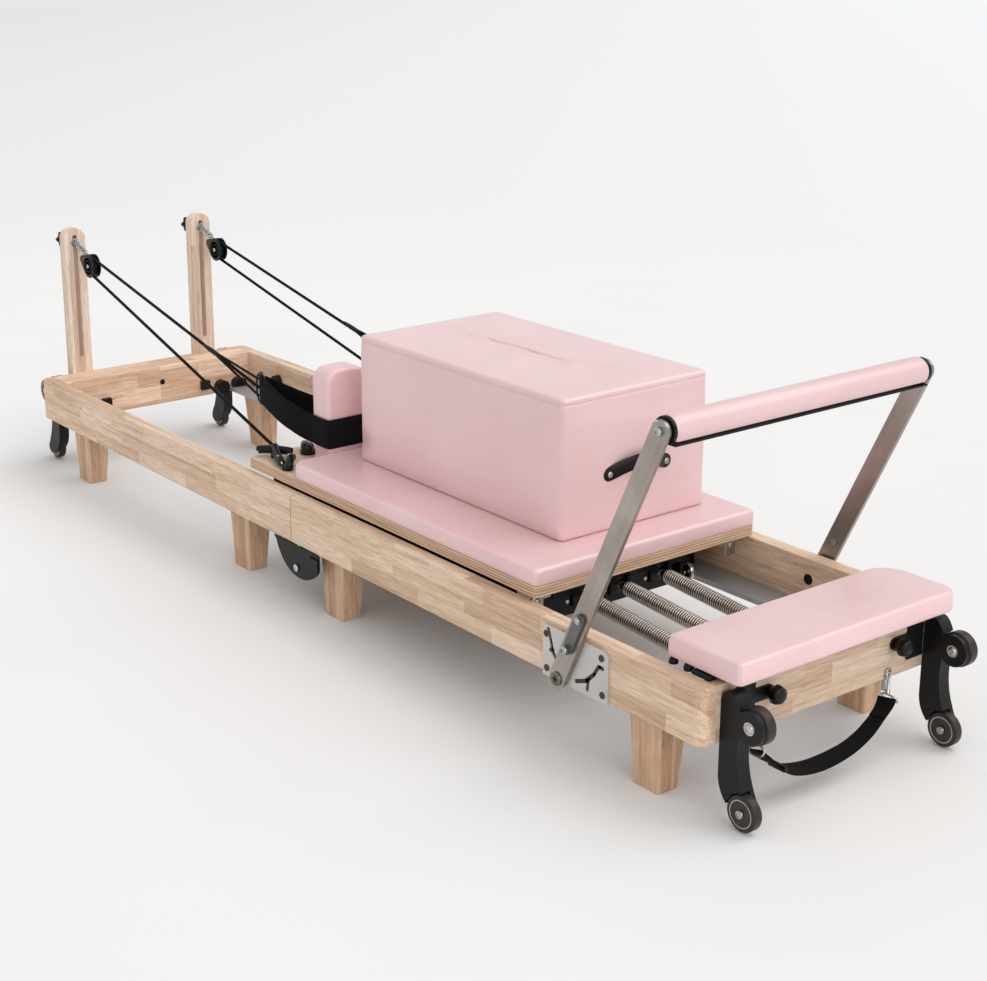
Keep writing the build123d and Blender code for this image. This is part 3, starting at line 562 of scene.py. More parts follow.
def turned(profile, centre, axis, sides=32, closed=False):
    """Solid of revolution: profile is (distance along the axis, radius) pairs."""
    axis = Vector(axis).normalized()
    u, v = basis(axis)
    centre = Vector(centre)
    loops = []
    for along, radius in profile:
        loops.append([
            centre + axis * along + (u * math.cos(t) + v * math.sin(t)) * max(radius, 1e-4)
            for t in around(sides)
        ])
    return rings(loops, closed)


def tangents(points, closed=False):
    """Unit directions along a line, each from the point before to the point after."""
    count = len(points)
    if closed:
        return [(points[(i + 1) % count] - points[i - 1]).normalized() for i in range(count)]
    return [(points[min(i + 1, count - 1)] - points[max(i - 1, 0)]).normalized() for i in range(count)]


def tube(points, radius, sides=10, closed=False):
    """Round tube along points, with frames carried along so that it doesn't twist."""
    points = [Vector(p) for p in points]
    ways = tangents(points, closed)
    side = basis(ways[0])[0]
    loops = []
    for i, (point, way) in enumerate(zip(points, ways)):
        side = (side - way * side.dot(way)).normalized()
        up = way.cross(side)
        r = radius[i] if isinstance(radius, (list, tuple)) else radius
        loops.append([point + (side * math.cos(t) + up * math.sin(t)) * r for t in around(sides)])
    return rings(loops, closed)


def band(points, across, width, thick):
    """Flat strap along points; across is the direction of its width, for all points or for each."""
    points = [Vector(p) for p in points]
    w, t = width / 2, thick / 2
    corners = [(-w, 0), (-w + t, -t), (-w / 2, -t), (0, -t), (w / 2, -t), (w - t, -t), (w, 0),
               (w - t, t), (w / 2, t), (0, t), (-w / 2, t), (-w + t, t)]
    loops = []
    for i, (point, way) in enumerate(zip(points, tangents(points))):
        wide = Vector(across[i] if isinstance(across[0], (tuple, list, Vector)) else across)
        wide = (wide - way * wide.dot(way)).normalized()
        out = way.cross(wide)
        loops.append([point + wide * a + out * b for a, b in corners])
    return rings(loops)


def block(low, high):
    """Box between two corners."""
    (x0, y0, z0), (x1, y1, z1) = low, high
    return rings([[(x0, y0, z), (x1, y0, z), (x1, y1, z), (x0, y1, z)] for z in (z0, z1)])


def slab(outline, start, step, axes="xz"):
    """Prism: an outline in x and z or in y and z, from start along the third axis by step."""
    loops = []
    for level in (start, start + step):
        if axes == "xz":
            loops.append([(a, level, b) for a, b in outline])
        else:
            loops.append([(level, a, b) for a, b in outline])
    return rings(loops)


def on_side(side):
    """Maker of points whose y is mirrored to one side of the frame."""
    def at(x, y, z):
        return Vector((x, side * y, z))
    return at


def spread(side, near, far):
    """Low and high y of a stretch between two distances from the middle, on one side."""
    return sorted((side * near, side * far))


def smooth_path(points, steps=12):
    """Catmull-Rom points through a few given ones."""
    pts = [Vector(p) for p in points]
    pts = [pts[0] * 2 - pts[1], *pts, pts[-1] * 2 - pts[-2]]
    out = []
    for a, b, c, d in zip(pts, pts[1:], pts[2:], pts[3:]):
        for k in range(steps):
            t = k / steps
            out.append(0.5 * ((2 * b) + (c - a) * t + (2 * a - 5 * b + 4 * c - d) * t * t
                              + (3 * b - a - 3 * c + d) * t ** 3))
    out.append(pts[-2])
    return out


def screw_head(piece, centre, axis, radius, material="steel", depth=3.0):
    """Button head with a hexagon recess."""
    axis = Vector(axis).normalized()
    centre = Vector(centre)
    piece.add(turned(
        [(0, radius), (depth * 0.35, radius), (depth * 0.75, radius * 0.86), (depth, radius * 0.6),
         (depth, radius * 0.48), (depth * 0.4, radius * 0.46), (depth * 0.4, 0)], centre, axis, 24), material)


# ---- camera, light and floor ----
def camera():
    data = bpy.data.cameras.new("camera")
    data.sensor_width = 36.0
    data.lens = 65.420061
    data.shift_x, data.shift_y = 0.04772036, -0.05146910
    data.clip_start, data.clip_end = 0.05, 200.0
    obj = bpy.data.objects.new("camera", data)
    yaw, pitch, roll = (math.radians(a) for a in (143.06, -16.75, -0.19))
    look = Vector((math.cos(yaw) * math.cos(pitch), math.sin(yaw) * math.cos(pitch), math.sin(pitch)))
    right = Vector((math.sin(yaw), -math.cos(yaw), 0))
    up = right.cross(look)
    right, up = (
        right * math.cos(roll) + up * math.sin(roll),
        up * math.cos(roll) - right * math.sin(roll),
    )
    place = Matrix((right, up, -look)).transposed().to_4x4()
    place.translation = (3.0843, -2.2133, 1.4535)
    obj.matrix_world = place
    bpy.context.scene.collection.objects.link(obj)
    bpy.context.scene.camera = obj


def sun(name, towards, angle, strength, colour=(1, 1, 1)):
    data = bpy.data.lights.new(name, "SUN")
    data.angle = math.radians(angle)
    data.energy = strength
    data.color = colour
    obj = bpy.data.objects.new(name, data)
    obj.rotation_mode = "QUATERNION"
    obj.rotation_quaternion = (-Vector(towards)).to_track_quat("-Z", "Y")
    bpy.context.scene.collection.objects.link(obj)


OBJECT_HALF = 1.2
GLOW_STARTS, GLOW_FULL = 1.2, 4.5


def studio():
    """Even light and a pale floor that glows into the background away from the object."""
    world = bpy.data.worlds.new("studio")
    world.use_nodes = True
    world.node_tree.nodes["Background"].inputs["Color"].default_value = (0.955, 0.96, 0.97, 1)
    world.node_tree.nodes["Background"].inputs["Strength"].default_value = 0.78
    bpy.context.scene.world = world
    bpy.context.scene.view_settings.view_transform = "Standard"
    sun("key", (0.35, 0.55, 1.0), 50, 1.0, (1.0, 0.99, 0.975))
    sun("front", (1.0, -0.15, 0.5), 40, 0.85)
    mesh = bpy.data.meshes.new("floor")
    mesh.from_pydata([(-60, -60, 0), (60, -60, 0), (60, 60, 0), (-60, 60, 0)], [], [(0, 1, 2, 3)])
    s = Shader("studio_floor")
    split = s.split(s.place)
    x, y = split[0], split[1]
    beyond = s.math("MAXIMUM", s.math("SUBTRACT", s.math("ABSOLUTE", x), OBJECT_HALF), 0.0)
    square = s.math("ADD", s.math("MULTIPLY", beyond, beyond), s.math("MULTIPLY", y, y))
    away = s.nodes.new("ShaderNodeMapRange")
    away.interpolation_type = "SMOOTHSTEP"
    away.inputs["From Min"].default_value = GLOW_STARTS
    away.inputs["From Max"].default_value = GLOW_FULL
    s.link(s.math("POWER", square, 0.5), away.inputs["Value"])
    # painted light: the glow is darker towards -x and -y and lighter towards +x and +y, like light falling off across
    # the backdrop
    across = s.math("ADD", s.math("MULTIPLY", s.math("ADD", x, y), 0.045), 0.5)
    glow = s.ramp(
        across, (0.0, srgb(229, 231, 231)), (0.35, srgb(238, 239, 239)), (0.75, srgb(246, 248, 249)),
    )
    soft = s.noise(s.mapped(), 1.2, 2.0)
    near = s.ramp(soft, (0.3, srgb(231, 230, 229)), (0.7, srgb(234, 233, 232)))
    s.colour(s.mix(away.outputs["Result"], near, (0.0, 0.0, 0.0, 1.0)))
    s.link(glow, s.bsdf.inputs["Emission Color"])
    s.link(away.outputs["Result"], s.bsdf.inputs["Emission Strength"])
    s.set(Roughness=0.9, Specular_IOR_Level=0.0)
    mesh.materials.append(s.material)
    floor = bpy.data.objects.new("floor", mesh)
    floor.location.z = -0.0005
    bpy.context.scene.collection.objects.link(floor)
    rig.stage(floor)


# ---- CAD nodes that stay, with better materials ----
CAD_LOOKS = {
    "wood_x": ["foot_rails", "head_rails"],
    "foot_beam_wood_shaded": ["foot_crossbeams"],
    "head_beam_wood_lit": ["head_crossbeams"],
    "leg_wood_shaded": ["foot_legs", "head_legs"],
    "riser_wood_lit": ["risers"],
    "ply": ["carriage_board"],
    "ply_thin": ["platform_board"],
    "track": ["foot_tracks", "head_tracks"],
    "plate": ["footbar_plates"],
    "arm": ["footbar_arms", "footbar_tube"],
    "steel": ["foot_hardware", "head_hardware", "footbar_bolts", "spring_anchor_bar", "hinge_pins"],
    "black": ["hinge_covers", "foot_wheel_brackets", "head_wheel_brackets", "footbar_trim", "rope_buffers"],
    "powder": ["platform_brackets", "hinge_fixed_leaves", "hinge_moving_leaves", "carriage_frame"],
    "lever": ["lock_lever_right", "lock_lever_left"],
    "rubber": ["roller_set_foot", "roller_set_head"],
}
BEVELS = {
    "foot_rails": 2.2, "head_rails": 2.2, "foot_crossbeams": 1.2, "head_crossbeams": 1.2, "foot_legs": 1.0,
    "head_legs": 1.0, "risers": 3.0, "carriage_board": 1.0, "footbar_plates": 0.5, "footbar_arms": 0.7,
    "hinge_covers": 1.0, "foot_wheel_brackets": 1.6, "head_wheel_brackets": 1.6, "platform_brackets": 0.6,
    "carriage_frame": 0.5, "lock_lever_right": 1.2, "lock_lever_left": 1.2, "rope_buffers": 3.0,
}


def dress_cad():
    """Gives each hard CAD node its material and, where listed, softly rounded edges."""
    for key, names in CAD_LOOKS.items():
        for name in names:
            node = NODES[name]
            if not node.material_slots:
                node.data.materials.append(M[key])
            for each in node.material_slots:
                each.material = M[key]
            width = BEVELS.get(name)
            if width:
                bevel = node.modifiers.new("soft_edge", "BEVEL")
                bevel.width = width * SCALE
                bevel.segments = 2
                bevel.limit_method = "ANGLE"
                bevel.angle_limit = math.radians(50)
                bevel.harden_normals = True


# ---- cushions ----
def rounded_outline(low, high, radii, per_corner=10, per_side=14):
    """Closed outline of a rectangle with its own corner radius at each corner, evenly counted."""
    (x0, y0), (x1, y1) = low, high
    corners = [(x1, y1, 0), (x0, y1, 90), (x0, y0, 180), (x1, y0, 270)]
    out = []
    for (cx, cy, start), r in zip(corners, radii):
        ox = cx - r if cx == x1 else cx + r
        oy = cy - r if cy == y1 else cy + r
        for k in range(per_corner + 1):
            a = math.radians(start + 90.0 * k / per_corner)
            out.append((ox + r * math.cos(a), oy + r * math.sin(a), 45 - abs(90.0 * k / per_corner - 45)))
    dense = []
    for i, p in enumerate(out):
        q = out[(i + 1) % len(out)]
        dense.append(p)
        if i % (per_corner + 1) == per_corner:
            for k in range(1, per_side):
                t = k / per_side
                dense.append((p[0] + (q[0] - p[0]) * t, p[1] + (q[1] - p[1]) * t, 0.0))
    return dense


SEAM_HALF = 1.4
SEAM_DEPTH = 1.1


def cushion(low, high, radii, edge, crown, bulge, seam, corner_seam, bottom_edge):
    """Upholstered block: rings from the middle of the bottom round the sides to the middle of the top."""
    x0, y0, z0 = low
    x1, y1, z1 = high
    half = min(x1 - x0, y1 - y0) / 2
    side_low, side_high = z0 + bottom_edge, z1 - edge
    levels = [(half * 0.98, z0), (half * 0.5, z0), (bottom_edge * 1.2, z0),
              (bottom_edge * 0.3, z0 + bottom_edge * 0.3), (0, side_low)]
    count = max(3, int((side_high - side_low) / 12))
    stops = [side_low + (side_high - side_low) * k / count for k in range(1, count + 1)]
    if seam is not None:
        clear = [s for s in stops if abs(s - seam) > 4]
        stops = sorted(set(clear + [seam - SEAM_HALF, seam, seam + SEAM_HALF]))
    for z in stops:
        t = (z - side_low) / max(1e-6, side_high - side_low)
        inset = -bulge * math.sin(math.pi * min(1, max(0, t)))
        if seam is not None and abs(z - seam) < 0.1:
            inset += SEAM_DEPTH
        levels.append((inset, z))
    for k in range(1, 7):
        a = math.radians(90.0 * k / 6)
        levels.append((edge * (1 - math.cos(a)), side_high + edge * math.sin(a)))
    for k in range(1, 15):
        inset = edge + (half * 0.985 - edge) * (k / 14) ** 1.35
        rise = 1 - (1 - min(1, inset / (half * 0.8))) ** 2
        levels.append((inset, z1 + crown * rise))
    base = rounded_outline((x0, y0), (x1, y1), radii)
    cx, cy = (x0 + x1) / 2, (y0 + y1) / 2
    hx, hy = (x1 - x0) / 2, (y1 - y0) / 2
    loops = []
    for inset, z in levels:
        loop = []
        for px, py, corner in base:
            pull = corner_seam * max(0.0, (corner - 38) / 7) if z0 + bottom_edge < z < z1 else 0.0
            i = inset + pull
            sx = (hx - i) / hx
            sy = (hy - i) / hy
            loop.append((cx + (px - cx) * sx, cy + (py - cy) * sy, z))
        loops.append(loop)
    return rings(loops)


SWELL_FRAMES = 12


def swell(obj, cap, pressure, pinned_below):
    """Puffs a cushion with a short cloth run and keeps each point within cap of where it was."""
    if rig.quick():
        return
    before = np.array([v.co[:] for v in obj.data.vertices])
    group = obj.vertex_groups.new(name="pinned")
    group.add([i for i, p in enumerate(before) if p[2] < pinned_below * SCALE], 1.0, "REPLACE")
    cloth = obj.modifiers.new("cloth", "CLOTH")
    cloth.settings.use_pressure = True
    cloth.settings.uniform_pressure_force = pressure
    cloth.settings.effector_weights.gravity = 0
    cloth.settings.tension_stiffness = 40
    cloth.settings.compression_stiffness = 40
    cloth.settings.bending_stiffness = 4
    cloth.settings.vertex_group_mass = "pinned"
    cloth.point_cache.frame_start, cloth.point_cache.frame_end = 1, SWELL_FRAMES
    for f in range(1, SWELL_FRAMES + 1):
        bpy.context.scene.frame_set(f)
    graph = bpy.context.evaluated_depsgraph_get()
    evaluated = obj.evaluated_get(graph).to_mesh()
    after = np.array([v.co[:] for v in evaluated.vertices])
    obj.evaluated_get(graph).to_mesh_clear()
    obj.modifiers.clear()
    bpy.context.scene.frame_set(1)
    move = after - before
    size = np.linalg.norm(move, axis=1, keepdims=True)
    move *= np.minimum(1.0, cap * SCALE / np.maximum(size, 1e-9))
    obj.data.vertices.foreach_set("co", (before + move).astype(np.float32).ravel())
    obj.data.update()


def pink_piece(name, shapes, body, node, material="pink", angle=60):
    piece = Piece(name)
    for shape in shapes:
        piece.add(shape, material)
    return piece.done(body, [node], "pink_leather", angle)


def cushions():
    pad = cushion((-46, -281, 272), (779, 281, 303), (10, 35, 35, 10), 8, -0.3, 0.8, None, 0.7, 1.5)
    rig.padded(pink_piece("carriage_cushion", [pad], "carriage", "carriage_pad"), 0.9)
    step = cushion((1108, -274, 254), (1277, 274, 293), (26, 52, 10, 10), 7, 1.2, 1.4, None, 0.7, 3.0)
    step = pink_piece("platform_cushion", [step], "foot_frame", "platform_pad")
    swell(step, 1.5, 2.0, 258)
    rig.padded(step, 0.85)
    box = cushion((32, -149, 303.5), (694, 223, 579.5), (10, 10, 10, 10), 8, 1.4, 1.2, 567, 0.4, 4.0)
    box = pink_piece("box_cushion", [box], "box", "sitting_box")
    swell(box, 2.5, 2.0, 312)
    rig.padded(box, 0.9)
    rests = [shoulder_rest(-111, -47, *spread(side, 72, 178), 272, 485) for side in (-1, 1)]
    rests = pink_piece("shoulder_cushions", rests, "carriage", "shoulder_rests")
    swell(rests, 1.5, 1.0, 276)
    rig.padded(rests, 0.8)
    bar = pink_piece("footbar_cushion", [bar_roll()], "footbar", "footbar_pad", "shaded_pink_for_bar", 50)
    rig.padded(bar, 0.95)


def bar_roll():
    """Round pad of the footbar, open below by a narrow flat and drawn in at both ends."""
    cx, cz, r = 1128.0, 653.0, 26.0
    gap = 0.92
    ends = [-307, -306.3, -304.5, -301], [295, 299, 302, 304.5, 306.3, 307]
    loops = []
    for y in ends[0] + [-280 + 20 * k for k in range(29)] + ends[1]:
        edge = max(0.0, (abs(y) - 300) / 7) if y < 0 else max(0.0, (y - 294) / 13)
        rr = r * (1 - (0.08 if y < 0 else 0.2) * edge ** 2.5)
        loop = []
        for k in range(41):
            a = -math.pi / 2 + gap + (2 * math.pi - 2 * gap) * k / 40
            loop.append((cx + rr * math.cos(a), y, cz + rr * math.sin(a)))
        p, q = loop[40], loop[0]
        for k in range(1, 8):
            t = k / 8
            loop.append((p[0] + (q[0] - p[0]) * t, y, p[2] + (q[2] - p[2]) * t))
        loops.append(loop)
    return rings(loops)


def shoulder_rest(x0, x1, y0, y1, z0, z1):
    """Upright padded block with a domed top; its thickness swells a little."""
    r, edge = 30.0, 10.0
    cy, cz = (y0 + y1) / 2, z1 - r
    outline = [(y0, z0 + (cz - z0) * k / 12) for k in range(13)]
    for k in range(1, 10):
        a = math.pi - math.pi / 2 * k / 9
        outline.append((y0 + r + r * math.cos(a), cz + r * math.sin(a)))
    for k in range(1, 6):
        outline.append((y0 + r + (y1 - y0 - 2 * r) * k / 5, z1 + 1.0 * math.sin(math.pi * k / 5)))
    for k in range(1, 10):
        a = math.pi / 2 - math.pi / 2 * k / 9
        outline.append((y1 - r + r * math.cos(a), cz + r * math.sin(a)))
    outline += [(y1, cz + (z0 - cz) * k / 12) for k in range(1, 13)]
    hy, hz = (y1 - y0) / 2, (z1 - z0) / 2
    corner = []
    for k in range(7):
        a = math.radians(90.0 * k / 6)
        corner.append((edge * (1 - math.sin(a)), edge * (1 - math.cos(a))))
    levels = [(hy * 0.9, x0 - 0.8), (hy * 0.55, x0 - 0.8), (edge * 1.5, x0)]
    levels += [(inset, x0 + out) for inset, out in corner]
    levels += [(inset, x1 - out) for inset, out in corner[::-1]]
    levels += [(edge * 1.5, x1), (hy * 0.55, x1 + 0.8), (hy * 0.9, x1 + 0.8)]
    return rings([
        [(x, cy + (y - cy) * (hy - inset) / hy, z0 + (z - z0) * (1 - inset / (2 * hz))) for y, z in outline]
        for inset, x in levels
    ])


# ---- springs ----
SPRING_Y = {"right": -132.0, "middle": -38.0, "left": 66.0}
SPRING_START, SPRING_END = Vector((729.0, 0.0, 209.0)), Vector((1152.0, 0.0, 180.0))


def springs():
    """Three coils of wound wire with a dark core and a hook at each end."""
    way = (SPRING_END - SPRING_START).normalized()
    length = (SPRING_END - SPRING_START).length
    u, v = basis(way)
    pitch, r, wire, steps = 5.6, 13.2, 1.95, 18
    turns = int((length - 30) / pitch)
    for name, y in SPRING_Y.items():
        piece = Piece(f"spring_{name}")
        a = SPRING_START + Vector((0, y, 0))
        points = []
        for k in range(turns * steps + 1):
            t = 2 * math.pi * k / steps
            taper = min(1.0, 0.35 + 0.65 * k / (steps * 5), 0.35 + 0.65 * (turns * steps - k) / (steps * 5))
            points.append(a + way * (9 + pitch * k / steps) + (u * math.cos(t) + v * math.sin(t)) * r * taper)
        piece.add(tube(points, wire, 6), "spring")
        core = [(14, 0), (14, 7), (26, 11.9), (length - 32, 11.9), (length - 22, 7), (length - 22, 0)]
        piece.add(turned(core, a, way, 28), "dark_steel")
        for sign, base in ((-1, a + way * 12), (1, a + way * (length - 21))):
            hook = [base + way * sign * (-4) + v * 3]
            for k in range(11):
                ang = -math.pi / 2 + math.pi * 1.7 * k / 10
                hook.append(base + way * sign * (11 + 7 * math.sin(ang)) + v * (7 * math.cos(ang) - 4))
            piece.add(tube(smooth_path(hook, 3), 1.5, 8), "spring")
        obj = piece.done(None, ["springs"] if name == "middle" else [], "spring_steel", 70)
        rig.blend(obj, "carriage", "foot_frame",
                 SPRING_START * SCALE + way * 0.012, SPRING_END * SCALE - way * 0.012)


# ---- ropes ----
BLOCK = (-1138.0, 546.0)
BLOCK_Y = 188.0
WRAP_R = 23.0
RING = (-290.0, 198.0, 400.0)
CLEAT = (-196.0, 226.0, 290.0)
ROPE_R = 3.9
BRIDGE_HEAD, BRIDGE_FOOT, RUN_END = -1050.0, -650.0, -300.0


def rope_route(side):
    """Control points of one rope, the same route as its CAD tube."""
    cx, cz = BLOCK
    back = cx - WRAP_R
    ends = []
    for (px, _, pz), turn in ((CLEAT, 1), (RING, -1)):
        angle = math.atan2(cz - pz, cx - px) + turn * math.asin(WRAP_R / math.dist((px, pz), (cx, cz)))
        ends.append((back, pz + math.tan(angle) * (back - px)))
    low = Vector((ends[0][0], side * BLOCK_Y, ends[0][1]))
    high = Vector((ends[1][0], side * BLOCK_Y, ends[1][1]))
    cleat = Vector((CLEAT[0], side * CLEAT[1], CLEAT[2]))
    ring = Vector((RING[0] - 11, side * RING[1], RING[2]))
    near_low = low + (cleat - low).normalized() * 46.0
    near_high = high + (ring - high).normalized() * 46.0
    return [cleat, cleat.lerp(near_low, 0.5), near_low, low, high, near_high, near_high.lerp(ring, 0.5), ring]


def nurbs_points(points):
    """Points along the smooth line that a NURBS spline of order 3 draws for control points."""
    data = bpy.data.curves.new("route", "CURVE")
    data.dimensions = "3D"
    spline = data.splines.new("NURBS")
    spline.points.add(len(points) - 1)
    for p, q in zip(spline.points, points):
        p.co = (*(Vector(q) * SCALE), 1.0)
    spline.order_u = 3
    spline.use_endpoint_u = True
    spline.resolution_u = 24
    obj = bpy.data.objects.new("route", data)
    bpy.context.scene.collection.objects.link(obj)
    bpy.context.view_layer.update()
    mesh = bpy.data.meshes.new_from_object(obj.evaluated_get(bpy.context.evaluated_depsgraph_get()))
    out = [v.co.copy() / SCALE for v in mesh.vertices]
    bpy.data.objects.remove(obj)
    bpy.data.meshes.remove(mesh)
    return out


def resample(points, step):
    """A line's own points with more between them, about a step apart."""
    out = [points[0]]
    for a, b in zip(points, points[1:]):
        gap = (b - a).length
        count = max(1, round(gap / step))
        out += [a.lerp(b, k / count) for k in range(1, count + 1)]
    return out


def cut(points, x):
    """The part of a line whose x is above a plane, with the crossing point added."""
    out = []
    for a, b in zip(points, points[1:]):
        if a.x >= x:
            out.append(a)
        if (a.x - x) * (b.x - x) < 0:
            out.append(a.lerp(b, (x - a.x) / (b.x - a.x)))
    if points[-1].x >= x:
        out.append(points[-1])
    return out


def rope_piece(name, points, bodies, start, end, replaced=()):
    """One stretch of rope that bends across one joint, between two places."""
    piece = Piece(name)
    piece.add(tube(points, ROPE_R, 10), "rope")
    obj = piece.done(None, replaced, "black_webbing", 60)
    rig.blend(obj, *bodies, start, end)
    path = [p * SCALE for p in points]
    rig.cord(obj, exit=path[0], length=sum((b - a).length for a, b in zip(path, path[1:])),
            diameter=2 * ROPE_R * SCALE, far_end="object", stiffness="limp", lay="taut", path=path)


def ropes():
    """Each rope in five pieces: two runs, two bridges over the fold and the turn round the pulley."""
    bridge_head, bridge_foot, run_end = ((x * SCALE, 0, 0.4) for x in (BRIDGE_HEAD, BRIDGE_FOOT, RUN_END))
    for side, hand in HANDS:
        line = resample(nurbs_points(rope_route(side)), 14.0)
        turn = min(range(len(line)), key=lambda i: line[i].x)
        ends = []
        for which, strand in (("lower", line[: turn + 1]), ("upper", line[turn:][::-1])):
            run = cut(strand, BRIDGE_FOOT)
            bridge = [run[-1]] + [p for p in cut(strand, BRIDGE_HEAD) if p.x < BRIDGE_FOOT - 0.5]
            ends.append([bridge[-1]] + [p for p in strand if p.x < bridge[-1].x - 0.5])
            replaced = ["pull_ropes"] if (which, hand) == ("lower", "right") else []
            rope_piece(f"rope_{which}_run_{hand}", run, ("foot_frame", "carriage"),
                       bridge_foot, run_end, replaced)
            rope_piece(f"rope_{which}_bridge_{hand}", bridge, ("head_frame", "foot_frame"),
                       bridge_head, bridge_foot)
        wrap = ends[0] + ends[1][::-1][1:]
        rope_piece(f"rope_wrap_{hand}", wrap, (f"pulley_{hand}", "head_frame"),
                   (-1.108, 0, 0.5), (BRIDGE_HEAD * SCALE, 0, 0.5))


# ---- loops, rings and cleats ----
def loops_and_rings():
    webs = Piece("webbing_loops")
    rings_piece = Piece("d_rings")
    split = Piece("rope_split_ends")
    for side, _ in HANDS:
        at = on_side(side)
        outer = [(-281, 201, 400), (-262, 203, 394), (-205, 201, 372), (-155, 192, 356), (-121, 183.5, 347),
                 (-104, 181, 345), (-74, 181, 344), (-53, 180.5, 344), (-44.8, 176, 344), (-44.0, 165, 344)]
        inner = [(-43.8, 125, 344), (-44.0, 84, 344), (-45, 73, 344), (-54, 69.6, 344), (-78, 69.2, 344),
                 (-103, 69.6, 345), (-113, 76, 346), (-118, 90, 350), (-172, 140, 368), (-240, 180, 391),
                 (-281, 195, 400)]
        path = smooth_path([at(*p) for p in outer + inner], 6)
        tilt = []
        for p in path:
            lean = max(0.0, min(1.0, (-108 - p.x) / 120.0))
            tilt.append(Vector((0.28 * lean, 0.0, 1.0)).normalized())
        webs.add(band(path, tilt, 66, 2.4), "web")
        collar = [(-281, 201), (-292, 199.5), (-296, 198), (-292, 196.5), (-281, 195)]
        collar = smooth_path([at(x, y, 402) for x, y in collar], 5)
        webs.add(band(collar, ALONG_Z, 58, 2.2), "web")
        y0, y1 = spread(side, 193, 203)
        for z in (386, 420):
            webs.add(block((-280, y0, z - 0.6), (-262, y1, z + 0.6)), "web")
        x, y, z = RING
        turns = [math.pi * k / 12 for k in range(1, 12)]
        bow = [at(x - 2 - 18 * math.sin(t), y, z + 35 * math.cos(t)) for t in turns]
        straight = [at(x + 7, y, z + rise) for rise in (-34, -17, 0, 17, 34)]
        ring = [*straight, at(x + 3, y, z + 37), *bow, at(x + 3, y, z - 37)]
        rings_piece.add(tube(ring, 2.2, 10, closed=True), "black_gloss")
        start = at(-520, 196.5, 445.5)
        for lift in (-19.8, 19.8):
            end = at(x - 12, y, z + lift)
            split.add(tube([start.lerp(end, t) for t in (0.12, 0.35, 0.6, 0.8, 1.0)], 2.9, 10), "rope")
        start, end = at(-545, 197, 450), at(-470, 196.6, 436)
        sleeve = [start.lerp(end, k / 6) for k in range(7)]
        split.add(tube(sleeve, [3.4, 4.8, 5.4, 5.6, 5.6, 5.2, 3.6], 12), "rubber")
    webs.done("carriage", ["rope_loops"], "black_webbing", 50)
    rings_piece.done("carriage", ["loop_rings"], "black_metal", 50)
    split = split.done(None, [], "black_webbing", 50)
    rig.blend(split, "foot_frame", "carriage", (-0.65, 0, 0.4), (-0.3, 0, 0.4))


def cleats():
    piece = Piece("rope_cleat_fittings")
    for side, _ in HANDS:
        at = on_side(side)
        bar = [(-206, 266, 288), (-200, 259, 289), (-184, 241, 290), (-164, 226, 290), (-148, 215, 289),
               (-143, 211, 288)]
        stem = [(-186, 230, 296), (-170, 240, 294), (-140, 252, 288), (-112, 262, 284), (-92, 267, 282)]
        hook = [(-112, 232, 286), (-102, 240, 291), (-86, 254, 291), (-72, 266, 285), (-68, 270, 279)]
        grip = [(-196, 148, 282), (-186, 152, 285), (-168, 158, 288), (-146, 166, 288), (-132, 171, 284)]
        for line, radii in (
            (bar, [5, 8, 8.6, 8.8] + [9.2] * 13 + [8.8, 8.4, 7, 4]),
            (stem, [5, 8, 9.4, 10] + [8.4, 9.8] * 4 + [9, 9, 8, 7, 4]),
            (hook, [5, 8.4] + [9.6] * 13 + [8, 5]),
        ):
            piece.add(tube(smooth_path([at(*p) for p in line], 4), radii, 14), "black_gloss")
        piece.add(turned([(0, 13), (8, 13), (12, 10), (14, 0)], at(-84, 262, 272), ALONG_Z, 20), "black")
        piece.add(turned([(0, 12), (12, 12), (17, 8), (18, 0)], at(-176, 234, 272), ALONG_Z, 20), "black")
        rivet = [(0, 4.6), (2.6, 4.4), (4, 3.0), (4, 0)]
        for place in ((-122, 262, 291), (-104, 246, 296), (-92, 272, 285), (-200, 268, 284)):
            piece.add(turned(rivet, at(*place), (0.2, -side * 0.7, 0.6), 14), "steel")
        post = [(0, 17), (8, 17), (10, 15), (19, 14), (23, 11), (25, 6), (25.5, 0)]
        piece.add(turned(post, at(-158, 162, 272), ALONG_Z, 28), "black")
        radii = [4, 7, 8] + [9] * 11 + [8, 7, 4]
        piece.add(tube(smooth_path([at(*p) for p in grip], 4), radii, 12), "black_gloss")
        piece.add(turned([(0, 10), (12, 10), (15, 7), (15, 0)], at(-188, 150, 272), ALONG_Z, 16), "black")
    piece.done("carriage", ["rope_cleats"], "black_plastic", 50)


# ---- pulleys on the risers ----
RISER_FACE = -1232.0
HANGER_Z = 594


def chain(piece, start, end, links):
    """Row of oval links between two points, each turned square to the one before."""
    half, r = 4.2, 7.4
    way = (end - start).normalized()
    for i in range(links):
        centre = start.lerp(end, (i + 0.5) / links)
        across = Vector(ALONG_Y) if i % 2 else basis(way)[1]
        across = (across - way * across.dot(way)).normalized()
        link = []
        for t in around(16):
            along = half * (1 if math.cos(t) > 0 else -1) + r * math.cos(t)
            link.append(centre + way * along + across * r * math.sin(t))
        piece.add(tube(link, 2.7, 8, closed=True), "steel")


